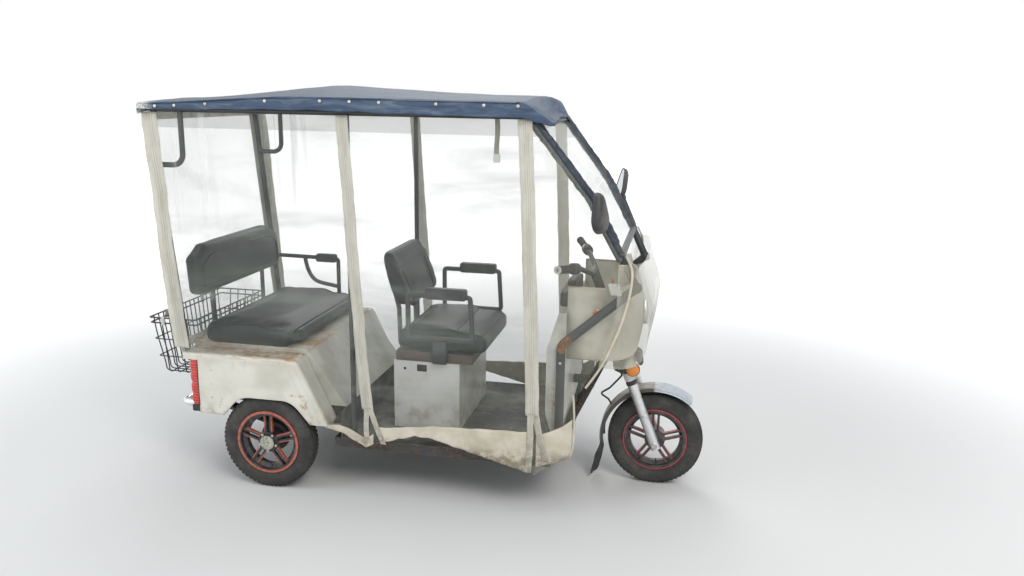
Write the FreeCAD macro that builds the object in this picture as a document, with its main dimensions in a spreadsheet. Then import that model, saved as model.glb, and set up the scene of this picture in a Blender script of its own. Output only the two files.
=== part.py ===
import FreeCAD, Part
import math
import os
import re
import Sketcher

# Passenger electric three-wheeler with a motorcycle fork, a hooped cab, a vinyl roof and clear side curtains.
# Millimetres. +X forward, +Y to the left, +Z up. The origin is on the ground under the middle of the vehicle.
# Lengths called from the rear axle run forward from it, heights run up from the ground, and half widths
# run out from the centre plane.

V = FreeCAD.Vector
doc = FreeCAD.newDocument("passenger_trike")
sheet = doc.addObject("Spreadsheet::Sheet", "Sizes")

# Columns: alias, value in millimetres or degrees, meaning.
sizeTable = [
    ("wheelbase", 1605, "rear axle to front axle"),
    ("rearOverhang", 620, "rear axle to the back of the basket"),
    ("tyreRadius", 205, "outer radius of a 3.00-10 tyre"),
    ("tyreWidth", 80, "section width of a tyre"),
    ("treadWidth", 58, "width of the tread band"),
    ("shoulderDrop", 6, "tread edge below the crown"),
    ("beadRadius", 128, "radius of the bead seat"),
    ("beadWidth", 60, "width between the rim flanges"),
    ("flangeRadius", 138, "outer radius of the rim flanges"),
    ("flangeWall", 6, "thickness of a rim flange"),
    ("rimWall", 6, "thickness of the rim barrel"),
    ("wellRadius", 112, "outer radius of the drop centre"),
    ("wellWidth", 20, "width of the drop centre floor"),
    ("spokeBar", 11, "width of one bar of a split spoke"),
    ("spokeGap", 13, "gap between the two bars of a spoke"),
    ("spokeDepth", 15, "thickness of a spoke across the wheel"),
    ("spokeInset", 10, "spoke face in from the outer flange"),
    ("hubRadius", 44, "radius of the wheel hub"),
    ("hubWidth", 62, "width of the wheel hub"),
    ("capRadius", 32, "radius of the hub cap"),
    ("capHeight", 9, "hub cap beyond the hub"),
    ("rearTrack", 830, "distance between the rear wheel centres"),
    ("bodyFlare", 5, "quarter panel beyond the outside of the tyre"),
    ("bodyHalf", "=rearTrack / 2 + tyreWidth / 2 + bodyFlare", "half width over the quarter panels"),
    ("axleTubeRadius", 28, "rear axle housing"),
    ("axleFlangeRadius", 62, "brake plate at each end of the housing"),
    ("axleFlangeWall", 14, "thickness of a brake plate"),
    ("axleShaftRadius", 14, "drive shaft in the wheel hub"),
    ("runningClearance", 0.05, "radial clearance of a running fit"),
    ("wheelSideClearance", 2, "hub to brake plate"),
    ("differentialRadius", 78, "differential case"),
    ("differentialLength", 130, "width of the differential case"),
    ("motorRadius", 72, "drive motor"),
    ("motorLength", 190, "length of the drive motor"),
    ("railWidth", 30, "width of a chassis rail"),
    ("railHeight", 40, "depth of a chassis rail"),
    ("sideRailInset", 40, "side rail inside the body's side"),
    ("sideRailHalf", "=bodyHalf - sideRailInset", "half width over the side rails"),
    ("floorTop", 248, "height of the cab floor"),
    ("floorSheet", 3, "thickness of the floor sheet"),
    ("floorRear", 321, "rear end of the floor from the rear axle"),
    ("floorFront", 1205, "front end of the floor from the rear axle"),
    ("railInset", 115, "centre of a rear rail inside the wheel's centre"),
    ("rearRailCentre", "=rearTrack / 2 - railInset", "half spacing of the rear rails"),
    ("rearRailTop", 360, "height of the rear rails"),
    ("rearRailHeight", 30, "depth of the rear rails"),
    ("rearRailEnd", -330, "rear end of the rear rails"),
    ("springHalfLength", 275, "half length of a leaf spring"),
    ("springSeat", 60, "half length of the spring's flat seat"),
    ("springEye", 30, "length of the flat end of a spring"),
    ("springThickness", 14, "depth of the leaf pack"),
    ("springWidth", 50, "width of the leaf pack"),
    ("springEyeHeight", 288, "height of the spring ends"),
    ("batteryLength", 400, "battery pack along the vehicle"),
    ("batteryWidth", 520, "battery pack across the vehicle"),
    ("batteryHeight", 170, "height of the battery pack"),
    ("batteryRear", -300, "rear face of the battery pack"),
    ("bodySkin", 4, "thickness of the moulded body panels"),
    ("tubInset", 20, "side of the rear seat base inside the tyre"),
    ("tubHalf", "=rearTrack / 2 - tyreWidth / 2 - tubInset", "half width of the rear seat base"),
    ("bodyBottom", 314, "lower edge of the quarter panels"),
    ("bodyTop", 582, "top of the quarter panels"),
    ("bodyRearTop", -372, "rear end of the body at its top"),
    ("bodyRearEdge", -297, "rear edge of the quarter panel beside the lamp"),
    ("lampNotch", 548, "height of the panel above the lamp"),
    ("archRear", -190, "rear foot of the wheel arch"),
    ("archTopRear", -113, "rear end of the arch top"),
    ("archTopFront", 121, "front end of the arch top"),
    ("archFront", 201, "front foot of the wheel arch"),
    ("archHeight", 401, "height of the wheel arch"),
    ("fenderFoot", 279, "front end of the quarter panel"),
    ("fenderFootHeight", 306, "height of its front foot"),
    ("fenderShoulder", 144, "where the panel starts to slope down"),
    ("seatBaseTop", 600, "top of the rear seat base"),
    ("seatBaseFront", 150, "front end of the seat base top"),
    ("seatBaseWall", 3, "wall of the rear seat base"),
    ("lampHeight", 198, "height of a tail lamp"),
    ("lampLength", 44, "tail lamp along the vehicle"),
    ("lampWidth", 46, "tail lamp across the vehicle"),
    ("fitGap", 0.3, "gap between neighbouring panels"),
    ("lampLobes", 4, "number of lobes down a tail lamp"),
    ("lampLobe", 9, "bulge of a lobe"),
    ("archLip", 14, "width of the raised lip round the wheel arch"),
    ("archLipHeight", 3, "how far the lip stands out"),
    ("bumperRadius", 16, "rear bumper tube"),
    ("bumperBack", -411, "centre of the bumper tube"),
    ("bumperHeight", 334, "height of the bumper"),
    ("bumperInset", 60, "bumper's corner inside the body's side"),
    ("bumperHalf", "=bodyHalf - bumperInset", "half width of the bumper"),
    ("bumperBracket", 26, "width of a bumper bracket"),
    ("basketFront", -392, "front wall of the basket"),
    ("basketTop", 675, "rim of the basket"),
    ("basketBottom", 408, "bottom of the basket"),
    ("basketTopHalf", 300, "half width of the basket at the rim"),
    ("basketBottomHalf", 262, "half width of the basket at the bottom"),
    ("basketTaper", 24, "how far the back wall leans in at the bottom"),
    ("basketWall", 4, "wire of the basket"),
    ("basketRim", 24, "depth of the basket's double rim"),
    ("basketBracket", 30, "width of a basket bracket"),
    ("basketPitch", 42, "spacing of the basket's upright wires"),
    ("postRadius", 12.5, "roof post tube"),
    ("postInset", 28, "roof post inside the body's side"),
    ("postHalf", "=bodyHalf - postInset", "half spacing of the roof posts"),
    ("rearPostTop", -453, "top of a rear post"),
    ("rearPostFoot", -357, "foot of a rear post"),
    ("roofRailHeight", 1582, "height of the roof rails"),
    ("midPost", 386, "middle post from the rear axle"),
    ("roofRailFront", 1098, "front end of the roof rails"),
    ("braceForward", 138, "roof corner brace ahead of the post"),
    ("braceDrop", 222, "roof corner brace below the rail"),
    ("braceRadius", 11, "tube of the roof corner brace"),
    ("braceBend", 45, "bend of the roof corner brace"),
    ("roofBeyond", 20, "roof cover beyond the body's side"),
    ("roofHalf", "=bodyHalf + roofBeyond", "half width of the roof cover"),
    ("visorTaper", 55, "visor tip inside the roof cover's side"),
    ("roofFrontHalf", "=roofHalf - visorTaper", "half width of the visor tip"),
    ("roofRearEnd", -470, "rear end of the roof cover"),
    ("roofHump", 205, "where the roof is highest"),
    ("roofBrow", 1075, "where the visor starts"),
    ("visorTip", 1192, "front tip of the visor"),
    ("roofRearEdge", 1604, "edge height at the rear"),
    ("roofMidEdge", 1638, "edge height at the hump"),
    ("roofBrowEdge", 1632, "edge height where the visor starts"),
    ("visorEdge", 1558, "edge height at the visor tip"),
    ("roofRearCrown", 1622, "crown height at the rear"),
    ("roofMidCrown", 1682, "crown height at the hump"),
    ("roofBrowCrown", 1652, "crown height where the visor starts"),
    ("visorCrown", 1580, "crown height at the visor tip"),
    ("valanceRear", 1582, "lower edge of the valance at the rear"),
    ("valanceMid", 1589, "lower edge of the valance at the hump"),
    ("valanceBrow", 1576, "lower edge of the valance at the brow"),
    ("roofSheet", 5, "thickness of the padded roof cover"),
    ("curtainSheet", 3, "thickness of a curtain with its folds"),
    ("curtainTop", 1570, "top of the side curtains"),
    ("curtainSplit", 1080, "joint of the side and corner curtains at the top"),
    ("curtainSplitFoot", 1136, "joint of the side and corner curtains at the foot"),
    ("curtainRearFoot", 330, "where the side curtain leaves the quarter panel"),
    ("curtainHem", 285, "lower edge of the side curtain"),
    ("curtainDip", 198, "lowest corner of the side curtain"),
    ("cornerIn", 0.155, "how much the corner curtain turns in, per length"),
    ("cornerRun", 104, "how far the corner curtain's low edge runs forward"),
    ("apronLap", 1, "corner curtain behind the apron's edge"),
    ("pillarRadius", 16, "windscreen pillar tube"),
    ("windscreenBarRadius", 14, "bars across the top and the base of the windscreen"),
    ("pillarTopU", 1117, "top of a pillar from the rear axle"),
    ("pillarTopHeight", 1556, "height of a pillar top"),
    ("pillarTopInset", 52, "pillar's top inside the body's side"),
    ("pillarTopHalf", "=bodyHalf - pillarTopInset", "half spacing of the pillar tops"),
    ("pillarMidU", 1330, "middle of a pillar"),
    ("pillarMidHeight", 1281, "height of a pillar's middle"),
    ("pillarMidInset", 78, "pillar's middle inside the body's side"),
    ("pillarMidHalf", "=bodyHalf - pillarMidInset", "half spacing of the pillars at their middle"),
    ("pillarBaseU", 1449, "base of the windscreen"),
    ("pillarBaseHeight", 1066, "height of the windscreen base"),
    ("pillarBaseInset", 100, "pillar's base inside the body's side"),
    ("pillarBaseHalf", "=bodyHalf - pillarBaseInset", "half spacing of the pillars at the base"),
    ("guardTopU", 1510, "front end of the diagonal guard tube"),
    ("guardTopHeight", 942, "height of its front end"),
    ("guardTopInset", 122, "guard tube's front end inside the body's side"),
    ("guardTopHalf", "=bodyHalf - guardTopInset", "half spacing of the front ends"),
    ("guardFootU", 1224, "rear end of the diagonal guard tube"),
    ("guardFootHeight", 690, "height of its rear end"),
    ("guardFootInset", 130, "guard tube's rear end inside the body's side"),
    ("guardFootHalf", "=bodyHalf - guardFootInset", "half spacing of the rear ends"),
    ("guardRadius", 18, "guard tube"),
    ("guardBend", 50, "bend of the guard tube"),
    ("paneWall", 4, "thickness of the windscreen pane"),
    ("shieldRear", 1165, "rear edge of the leg shield"),
    ("shieldFront", 1240, "front face of the leg shield"),
    ("shieldBottom", 384, "bottom of the leg shield"),
    ("shieldBend", 658, "height where the shield's edge leans forward"),
    ("shieldTop", 815, "top of the leg shield"),
    ("shieldTopRear", 1212, "rear edge of the shield at the top"),
    ("shieldWall", 4, "thickness of the leg shield"),
    ("dashRear", 1196, "rear face of the dash"),
    ("dashFront", 1245, "front face of the dash"),
    ("dashHeight", 62, "height of the dash"),
    ("dashHalf", 205, "half width of the dash"),
    ("noseTop", 925, "top of the front fairing"),
    ("noseMiddle", 765, "height where the fairing reaches furthest"),
    ("noseBottom", 628, "bottom of the front fairing"),
    ("noseTopReach", 1492, "front of the fairing at its top"),
    ("noseReach", 1530, "front of the fairing"),
    ("noseBottomReach", 1514, "front of the fairing at its bottom"),
    ("noseInset", 156, "fairing's side inside the body's side"),
    ("noseHalf", "=bodyHalf - noseInset", "half width of the fairing"),
    ("noseFrontInset", 235, "edge of the fairing's front inside the body's side"),
    ("noseFlat", "=bodyHalf - noseFrontInset", "half width of the fairing's front"),
    ("noseWall", 4, "wall of the fairing"),
    ("headlampRadius", 52, "headlamp"),
    ("headlampDepth", 18, "headlamp ahead of the fairing"),
    ("apronTop", 1040, "top of the apron"),
    ("apronBottom", 632, "bottom of the apron"),
    ("apronMiddle", 860, "height where the apron reaches furthest"),
    ("apronReach", 1584, "front of the apron"),
    ("apronTopReach", 1535, "front of the apron at its top"),
    ("apronBottomReach", 1545, "front of the apron at its bottom"),
    ("apronRear", 1440, "rear edge of the apron at its top"),
    ("apronBottomRear", 1380, "rear edge of the apron at its bottom"),
    ("apronInset", 66, "apron's rear edge inside the body's side"),
    ("apronHalf", "=bodyHalf - apronInset", "half width of the apron's rear edges"),
    ("apronShoulderInset", 108, "apron's shoulder inside the body's side"),
    ("apronShoulder", "=bodyHalf - apronShoulderInset", "half width of the apron's shoulders"),
    ("apronSetback", 12, "apron's shoulders behind its front"),
    ("apronFrontInset", 280, "edge of the apron's front inside the body's side"),
    ("apronFlat", "=bodyHalf - apronFrontInset", "half width of the apron's front"),
    ("rake", 22, "degrees the steering axis leans back"),
    ("forkOffset", 35, "fork legs ahead of the steering axis"),
    ("legHalf", 85, "half spacing of the fork legs"),
    ("sliderRadius", 21, "fork slider"),
    ("stanchionRadius", 15.5, "fork stanchion"),
    ("sliderTop", 258, "slider top along the axis"),
    ("lowerYoke", 345, "lower yoke along the axis"),
    ("upperYoke", 640, "upper yoke along the axis"),
    ("yokeDepth", 28, "thickness of a yoke"),
    ("yokeMargin", 22, "yoke beyond the leg centre"),
    ("stemRadius", 15, "steering stem"),
    ("headTubeRadius", 26, "steering head tube"),
    ("yokeGap", 1, "yoke to head tube"),
    ("frontAxleRadius", 7, "front wheel spindle"),
    ("barRadius", 11, "handlebar tube"),
    ("barAlong", 785, "handlebar clamp along the axis"),
    ("barHalfFlat", 70, "half length of the bar's straight middle"),
    ("riserRadius", 14, "handlebar riser"),
    ("gripRadius", 17, "hand grip"),
    ("gripEndU", 1205, "outer end of a grip"),
    ("gripEndInset", 98, "end of a grip inside the body's side"),
    ("gripEndHalf", "=bodyHalf - gripEndInset", "half spacing of the grip ends"),
    ("gripEndHeight", 1000, "height of the grip ends"),
    ("gripInnerU", 1247, "inner end of a grip"),
    ("gripInnerInset", 212, "inner end of a grip inside the body's side"),
    ("gripInnerHalf", "=bodyHalf - gripInnerInset", "half spacing of the inner grip ends"),
    ("gripInnerHeight", 984, "height of the inner grip ends"),
    ("controlRadius", 24, "switch housing beside a grip"),
    ("controlLength", 46, "length of a switch housing"),
    ("mudguardRadius", 240, "outer radius of the front mudguard"),
    ("mudguardHalf", 50, "half width of the front mudguard"),
    ("mudguardEdge", 16, "depth of the mudguard's sides"),
    ("mudguardWall", 2, "sheet of the mudguard"),
    ("mudguardStart", 51, "front end of the mudguard, degrees above level"),
    ("mudguardEnd", 187, "rear end of the mudguard, degrees"),
    ("flapBottom", 8, "mud flap above the ground"),
    ("flapWall", 4, "thickness of the mud flap"),
    ("flapHalf", 46, "half width of the mud flap"),
    ("flapBottomU", 1344, "lower end of the mud flap"),
    ("indicatorRadius", 30, "front indicator"),
    ("indicatorWidth", 28, "depth of a front indicator"),
    ("indicatorHeight", 543, "height of the front indicators"),
    ("hornRadius", 36, "horn"),
    ("hornDepth", 26, "depth of the horn"),
    ("hornHeight", 560, "height of the horn"),
    ("hoseRadius", 4, "brake hose"),
    ("hoseBackU", 1362, "rearmost bend of the brake hose"),
    ("hoseBackHeight", 400, "height of that bend"),
    ("hoseEndAngle", 142, "place of the hose's end round the front wheel, degrees"),
    ("mirrorU", 1381, "centre of a mirror head"),
    ("mirrorBeyond", 66, "mirror's centre beyond the body's side"),
    ("mirrorHalf", "=bodyHalf + mirrorBeyond", "half spacing of the mirror heads"),
    ("mirrorHeight", 1250, "height of the mirror heads"),
    ("mirrorWide", 96, "width of a mirror head"),
    ("mirrorTall", 150, "height of a mirror head"),
    ("mirrorDeep", 34, "depth of a mirror head"),
    ("mirrorTop", 26, "radius of a mirror head's narrow top"),
    ("mirrorArmRadius", 6, "mirror arm"),
    ("rearCushionRear", -318, "rear of the rear cushion"),
    ("rearCushionFront", 96, "front of the rear cushion"),
    ("rearCushionInset", 80, "side of the rear cushion inside the body's side"),
    ("rearCushionHalf", "=bodyHalf - rearCushionInset", "half width of the rear cushion"),
    ("rearCushionHeight", 100, "thickness of the rear cushion"),
    ("cushionRound", 24, "edge round of the cushions"),
    ("rearBackBottom", 815, "lower edge of the rear backrest"),
    ("rearBackTop", 1013, "upper edge of the rear backrest"),
    ("rearBackU", -384, "back of the rear backrest at its foot"),
    ("rearBackLean", 10, "how far the backrest leans back"),
    ("rearBackDepth", 78, "thickness of the rear backrest"),
    ("rearBackInset", 85, "side of the rear backrest inside the body's side"),
    ("rearBackHalf", "=bodyHalf - rearBackInset", "half width of the rear backrest"),
    ("seatTubeRadius", 10, "tube of the seat frames"),
    ("rearArmInset", 60, "left armrest inside the body's side"),
    ("rearArmHalf", "=bodyHalf - rearArmInset", "left armrest from the centre plane"),
    ("rearArmHeight", 838, "height of the rear armrest"),
    ("rearArmFront", -18, "front of the rear armrest"),
    ("driverBoxRear", 497, "rear face of the driver's seat box"),
    ("driverBoxFront", 785, "front face of the driver's seat box"),
    ("driverBoxTop", 548, "top of the driver's seat box"),
    ("driverBoxHalf", 250, "half width of the driver's seat box"),
    ("boxWall", 3, "sheet of the driver's seat box"),
    ("seatPanHeight", 42, "depth of the driver's seat pan"),
    ("seatPanFront", 838, "front of the driver's seat pan"),
    ("driverCushionRear", 506, "rear of the driver's cushion"),
    ("driverCushionFront", 912, "front of the driver's cushion"),
    ("driverCushionHalf", 240, "half width of the driver's cushion"),
    ("driverCushionHeight", 100, "thickness of the driver's cushion"),
    ("driverBackTop", 1003, "upper edge of the driver's backrest"),
    ("driverBackBottom", 742, "lower edge of the driver's backrest"),
    ("driverBackU", 488, "back of the driver's backrest at its foot"),
    ("driverBackLean", 66, "how far the driver's backrest leans back"),
    ("driverBackDepth", 72, "thickness of the driver's backrest"),
    ("driverBackHalf", 228, "half width of the driver's backrest"),
    ("driverArmHalf", 278, "armrest from the centre plane"),
    ("driverArmHeight", 846, "height of the armrest rail"),
    ("driverArmRear", 572, "rear bend of the armrest"),
    ("driverArmFront", 838, "front bend of the armrest"),
    ("driverArmFoot", 662, "height of the armrest's lower rail"),
    ("armPadRear", 652, "rear end of an arm pad"),
    ("armPadLength", 172, "length of an arm pad"),
    ("armPadHeight", 34, "thickness of an arm pad"),
    ("armPadHalf", 24, "half width of an arm pad"),
]
for row, (alias, value, meaning) in enumerate(sizeTable, start=1):
    sheet.set(f"A{row}", meaning)
    sheet.set(f"B{row}", str(value))
    sheet.setAlias(f"B{row}", alias)
doc.recompute()


class Sizes:
    """The sheet's values by their aliases."""


s = Sizes()
for alias, value, meaning in sizeTable:
    setattr(s, alias, float(sheet.get(alias)))
aliases = {alias for alias, value, meaning in sizeTable}
subParts = []

# The origin is half way between the back of the basket and the front of the front tyre.
rearAxle = "(rearOverhang - tyreRadius - wheelbase) / 2"
rearAxleX = (s.rearOverhang - s.tyreRadius - s.wheelbase) / 2


def formula(text):
    """A sheet formula from words that are aliases."""
    return re.sub(r"[A-Za-z]\w*", lambda word: "Sizes." + word[0] if word[0] in aliases else word[0], text)


def bind(item, **expressions):
    """Ties properties to the sheet; a double underscore stands for a dot."""
    for name, text in expressions.items():
        item.setExpression(name.replace("__", "."), formula(text))


def subPart(label, item):
    item.Label = label
    subParts.append(item)
    return item


def shaped(label, shape):
    """A sub-part whose shape is made from the sizes with Part's own functions."""
    item = doc.addObject("Part::Feature", label)
    item.Shape = shape
    item.Placement = FreeCAD.Placement()
    return subPart(label, item)


def at(u, y, z):
    """The point u ahead of the rear axle, y to the left and z above the ground."""
    return V(rearAxleX + u, y, z)


def block(name, u, y, z, length, width, height):
    """A Part box whose low corner and sizes are formulas."""
    item = doc.addObject("Part::Box", name)
    bind(item, Length=length, Width=width, Height=height)
    bind(item, Placement__Base__x=rearAxle + " + " + u, Placement__Base__y=y, Placement__Base__z=z)
    return item


def crossRod(name, u, y, z, radius, length):
    """A Part cylinder that runs to the left from its right end."""
    item = doc.addObject("Part::Cylinder", name)
    item.Placement = FreeCAD.Placement(V(), FreeCAD.Rotation(V(1, 0, 0), -90))
    bind(item, Radius=radius, Height=length)
    bind(item, Placement__Base__x=rearAxle + " + " + u, Placement__Base__y=y, Placement__Base__z=z)
    return item


def joined(name, kind, members):
    item = doc.addObject(kind, name)
    if kind == "Part::Cut":
        item.Base, item.Tool = members
    elif kind == "Part::Compound":
        item.Links = members
    else:
        item.Shapes = members
    return item


def mirrored(name, source):
    """The same piece on the other side of the centre plane."""
    item = doc.addObject("Part::Mirroring", name)
    item.Source = source
    item.Normal = V(0, 1, 0)
    return item


def bothSides(label, source):
    """A right and a left piece that share one sub-part."""
    return subPart(label, joined(label, "Part::Compound", [source, mirrored(label + "_other", source)]))


def originPlane(body, role):
    return next(item for item in body.Origin.OriginFeatures if item.Role == role)


def outline(body, name, role, corners, offset=None):
    """A closed sketch of straight lines; each corner is a pair of formulas."""
    sketch = body.newObject("Sketcher::SketchObject", name)
    sketch.AttachmentSupport = (originPlane(body, role), "")
    sketch.MapMode = "FlatFace"
    if offset:
        bind(sketch, AttachmentOffset__Base__z=offset)
    count = len(corners)
    ring = [V(math.cos(step), math.sin(step), 0) for step in range(count)]
    for index in range(count):
        sketch.addGeometry(Part.LineSegment(ring[index], ring[(index + 1) % count]))
    for index in range(count):
        sketch.addConstraint(Sketcher.Constraint("Coincident", index, 2, (index + 1) % count, 1))
    for index, corner in enumerate(corners):
        for kind, text in zip(("DistanceX", "DistanceY"), corner):
            place = sketch.addConstraint(Sketcher.Constraint(kind, -1, 1, index, 1, 1))
            sketch.setExpression(f"Constraints[{place}]", formula(text))
    return sketch


def rings(body, name, role, radii, offset):
    """A sketch of circles round the body's own axis."""
    sketch = body.newObject("Sketcher::SketchObject", name)
    sketch.AttachmentSupport = (originPlane(body, role), "")
    sketch.MapMode = "FlatFace"
    bind(sketch, AttachmentOffset__Base__z=offset)
    for index, radius in enumerate(radii):
        sketch.addGeometry(Part.Circle(V(), V(0, 0, 1), index + 1))
        sketch.addConstraint(Sketcher.Constraint("Coincident", index, 3, -1, 1))
        place = sketch.addConstraint(Sketcher.Constraint("Radius", index, index + 1))
        sketch.setExpression(f"Constraints[{place}]", formula(radius))
    return sketch


def pad(body, name, sketch, length):
    """Extrudes a sketch along its normal, which points right for a sketch on the XZ plane."""
    item = body.newObject("PartDesign::Pad", name)
    item.Profile = sketch
    bind(item, Length=length)
    return item


def sideBody(label, corners, rightEdge, width):
    """A body extruded from a side outline, from its left face towards the right over its width."""
    body = doc.addObject("PartDesign::Body", label)
    bind(body, Placement__Base__x=rearAxle)
    pad(body, label + "_pad", outline(body, label + "_outline", "XZ_Plane", corners, rightEdge), width)
    return body


def bentPath(points, bend):
    """Straight runs joined by tangent arcs."""
    edges = []
    start = points[0]
    for before, corner, after in zip(points, points[1:], points[2:]):
        arrive = (corner - before).normalize()
        leave = (after - corner).normalize()
        half = arrive.getAngle(leave) / 2
        entry = corner - arrive * bend * math.tan(half)
        leaving = corner + leave * bend * math.tan(half)
        middle = corner + (leave - arrive).normalize() * bend * (1 / math.cos(half) - 1)
        edges.append(Part.LineSegment(start, entry).toShape())
        edges.append(Part.Arc(entry, middle, leaving).toShape())
        start = leaving
    edges.append(Part.LineSegment(start, points[-1]).toShape())
    return Part.Wire(edges)


def tube(points, radius, bend=40):
    """A solid round bar along a bent path."""
    section = Part.Wire(Part.makeCircle(radius, points[0], points[1] - points[0]))
    return bentPath(points, bend).makePipeShell([section], True, True)


def fused(shapes):
    return shapes[0].multiFuse(shapes[1:]).removeSplitter()


def across(point):
    """The same point on the other side of the centre plane."""
    return V(point.x, -point.y, point.z)


def polygonPrism(corners, depth):
    """A flat polygon extruded by a vector."""
    return Part.Face(Part.makePolygon(corners + corners[:1])).extrude(depth)


rakeAngle = math.radians(s.rake)
axisUp = V(-math.sin(rakeAngle), 0, math.cos(rakeAngle))
axisForward = V(math.cos(rakeAngle), 0, math.sin(rakeAngle))
headFoot = at(s.wheelbase, 0, s.tyreRadius) - axisForward * s.forkOffset


def onHead(along, forward=0, y=0):
    """A point measured along the steering axis, ahead of it and to its left."""
    return headFoot + axisUp * along + axisForward * forward + V(0, y, 0)


def tyre(label, u, y):
    """A tyre's section turned about the wheel's axis."""
    centre = at(u, y, s.tyreRadius)
    half = s.beadWidth / 2
    bore = s.beadRadius + s.fitGap
    middle = (s.flangeRadius + s.tyreRadius - s.shoulderDrop) / 2
    shoulder = s.tyreRadius - s.shoulderDrop
    bead = [V(0, -half, bore), V(0, -half, s.flangeRadius), V(0, half, s.flangeRadius), V(0, half, bore)]
    crown = [V(0, -s.treadWidth / 2, shoulder), V(0, 0, s.tyreRadius), V(0, s.treadWidth / 2, shoulder)]
    bead = [centre + point for point in bead]
    crown = [centre + point for point in crown]
    walls = [centre + V(0, -s.tyreWidth / 2, middle), centre + V(0, s.tyreWidth / 2, middle)]
    edges = [
        Part.LineSegment(bead[0], bead[1]),
        Part.Arc(bead[1], walls[0], crown[0]),
        Part.Arc(crown[0], crown[1], crown[2]),
        Part.Arc(crown[2], walls[1], bead[2]),
        Part.LineSegment(bead[2], bead[3]),
        Part.LineSegment(bead[3], bead[0]),
    ]
    section = Part.Face(Part.Wire([edge.toShape() for edge in edges]))
    return shaped(label, section.revolve(centre, V(0, 1, 0), 360))


def rim(name, u, y, bore, capped):
    """A cast rim: hub, five split spokes and a barrel with a drop centre, its face to the right."""
    body = doc.addObject("PartDesign::Body", name)
    bind(body, Placement__Base__x=rearAxle + " + " + u, Placement__Base__y=y, Placement__Base__z="tyreRadius")
    hubRings = rings(body, name + "_hub_rings", "XZ_Plane", ["hubRadius", bore], "-hubWidth / 2")
    pad(body, name + "_hub", hubRings, "hubWidth")
    barRight = "spokeGap / 2 + spokeBar"
    barTip = "beadRadius - rimWall / 2"
    barFoot = "hubRadius - spokeBar / 2"
    spokeLeft = "beadWidth / 2 + flangeWall - spokeInset - spokeDepth"
    bars = []
    for side in ("", "-"):
        corners = [(f"{side}(spokeGap / 2)", barFoot), (f"{side}({barRight})", barFoot),
                   (f"{side}({barRight})", barTip), (f"{side}(spokeGap / 2)", barTip)]
        sketch = outline(body, f"{name}_bar{len(bars)}", "XZ_Plane", corners, spokeLeft)
        bars.append(pad(body, f"{name}_spoke{len(bars)}", sketch, "spokeDepth"))
    pattern = body.newObject("PartDesign::PolarPattern", name + "_spokes")
    pattern.Originals = bars
    pattern.Axis = (originPlane(body, "Y_Axis"), [""])
    pattern.Angle = 360
    pattern.Occurrences = 5
    body.Tip = pattern
    if capped:
        pad(body, name + "_cap", rings(body, name + "_cap_ring", "XZ_Plane", ["capRadius"],
                                       "hubWidth / 2"), "capHeight")
    seat = "beadWidth / 2"
    edge = "beadWidth / 2 + flangeWall"
    slope = "wellWidth / 2 + (beadRadius - wellRadius) / 2"
    inner = "beadRadius - rimWall"
    half = [("wellWidth / 2", "wellRadius"), (slope, "beadRadius"), (seat, "beadRadius"),
            (seat, "flangeRadius"),
            (edge, "flangeRadius"), (edge, inner), (slope, inner), ("wellWidth / 2", "wellRadius - rimWall")]
    corners = half + [(f"-({lateral})", radius) for lateral, radius in reversed(half)]
    barrel = body.newObject("PartDesign::Revolution", name + "_barrel")
    barrel.Profile = outline(body, name + "_section", "YZ_Plane", corners)
    barrel.ReferenceAxis = (barrel.Profile[0], ["H_Axis"])
    barrel.Angle = 360
    body.Tip = barrel
    return body


# Wheels
tyre("rear_right_tyre", 0, -s.rearTrack / 2)
tyre("rear_left_tyre", 0, s.rearTrack / 2)
tyre("front_tyre", s.wheelbase, 0)
rearBore = "axleShaftRadius + runningClearance"
rightRim = subPart("rear_right_rim", rim("rear_right_rim", "0", "-rearTrack / 2", rearBore, True))
subPart("rear_left_rim", mirrored("rear_left_rim", rightRim))
subPart("front_rim", rim("front_rim", "wheelbase", "0", "frontAxleRadius + runningClearance", False))

# Rear axle with its brake plates, differential case and shafts
plateOut = "(rearTrack - hubWidth) / 2 - wheelSideClearance"
axleRods = [
    crossRod("axle_tube", "0", f"-({plateOut})", "tyreRadius", "axleTubeRadius", f"2 * ({plateOut})"),
    crossRod("axle_shaft", "0", "-(rearTrack + hubWidth) / 2 + wheelSideClearance", "tyreRadius",
             "axleShaftRadius", "rearTrack + hubWidth - 2 * wheelSideClearance"),
    crossRod("differential_case", "0", "-differentialLength / 2", "tyreRadius", "differentialRadius",
             "differentialLength"),
    crossRod("right_brake_plate", "0", f"-({plateOut})", "tyreRadius", "axleFlangeRadius", "axleFlangeWall"),
    crossRod("left_brake_plate", "0", f"{plateOut} - axleFlangeWall", "tyreRadius", "axleFlangeRadius",
             "axleFlangeWall"),
]
subPart("rear_axle", joined("rear_axle", "Part::MultiFuse", axleRods))
motor = doc.addObject("Part::Cylinder", "drive_motor")
motor.Placement = FreeCAD.Placement(V(), FreeCAD.Rotation(V(0, 1, 0), 90))
bind(motor, Radius="motorRadius", Height="motorLength", Placement__Base__z="tyreRadius",
     Placement__Base__x=rearAxle + " + differentialRadius")
subPart("drive_motor", motor)

# Leaf springs on the axle tube
springCorners = []
for side in ("", "-"):
    level = [("springHalfLength", "springEyeHeight"), ("springHalfLength - springEye", "springEyeHeight"),
             ("springSeat", "tyreRadius + axleTubeRadius + fitGap")]
    bottom = [(f"{side}({reach})", height) for reach, height in level]
    if side:
        springCorners += reversed(bottom)
    else:
        springCorners += bottom
raised = [(reach, f"{height} + springThickness") for reach, height in reversed(springCorners)]
spring = sideBody("right_leaf_spring", springCorners + raised, "rearRailCentre - springWidth / 2",
                  "springWidth")
bothSides("leaf_springs", spring)

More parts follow.
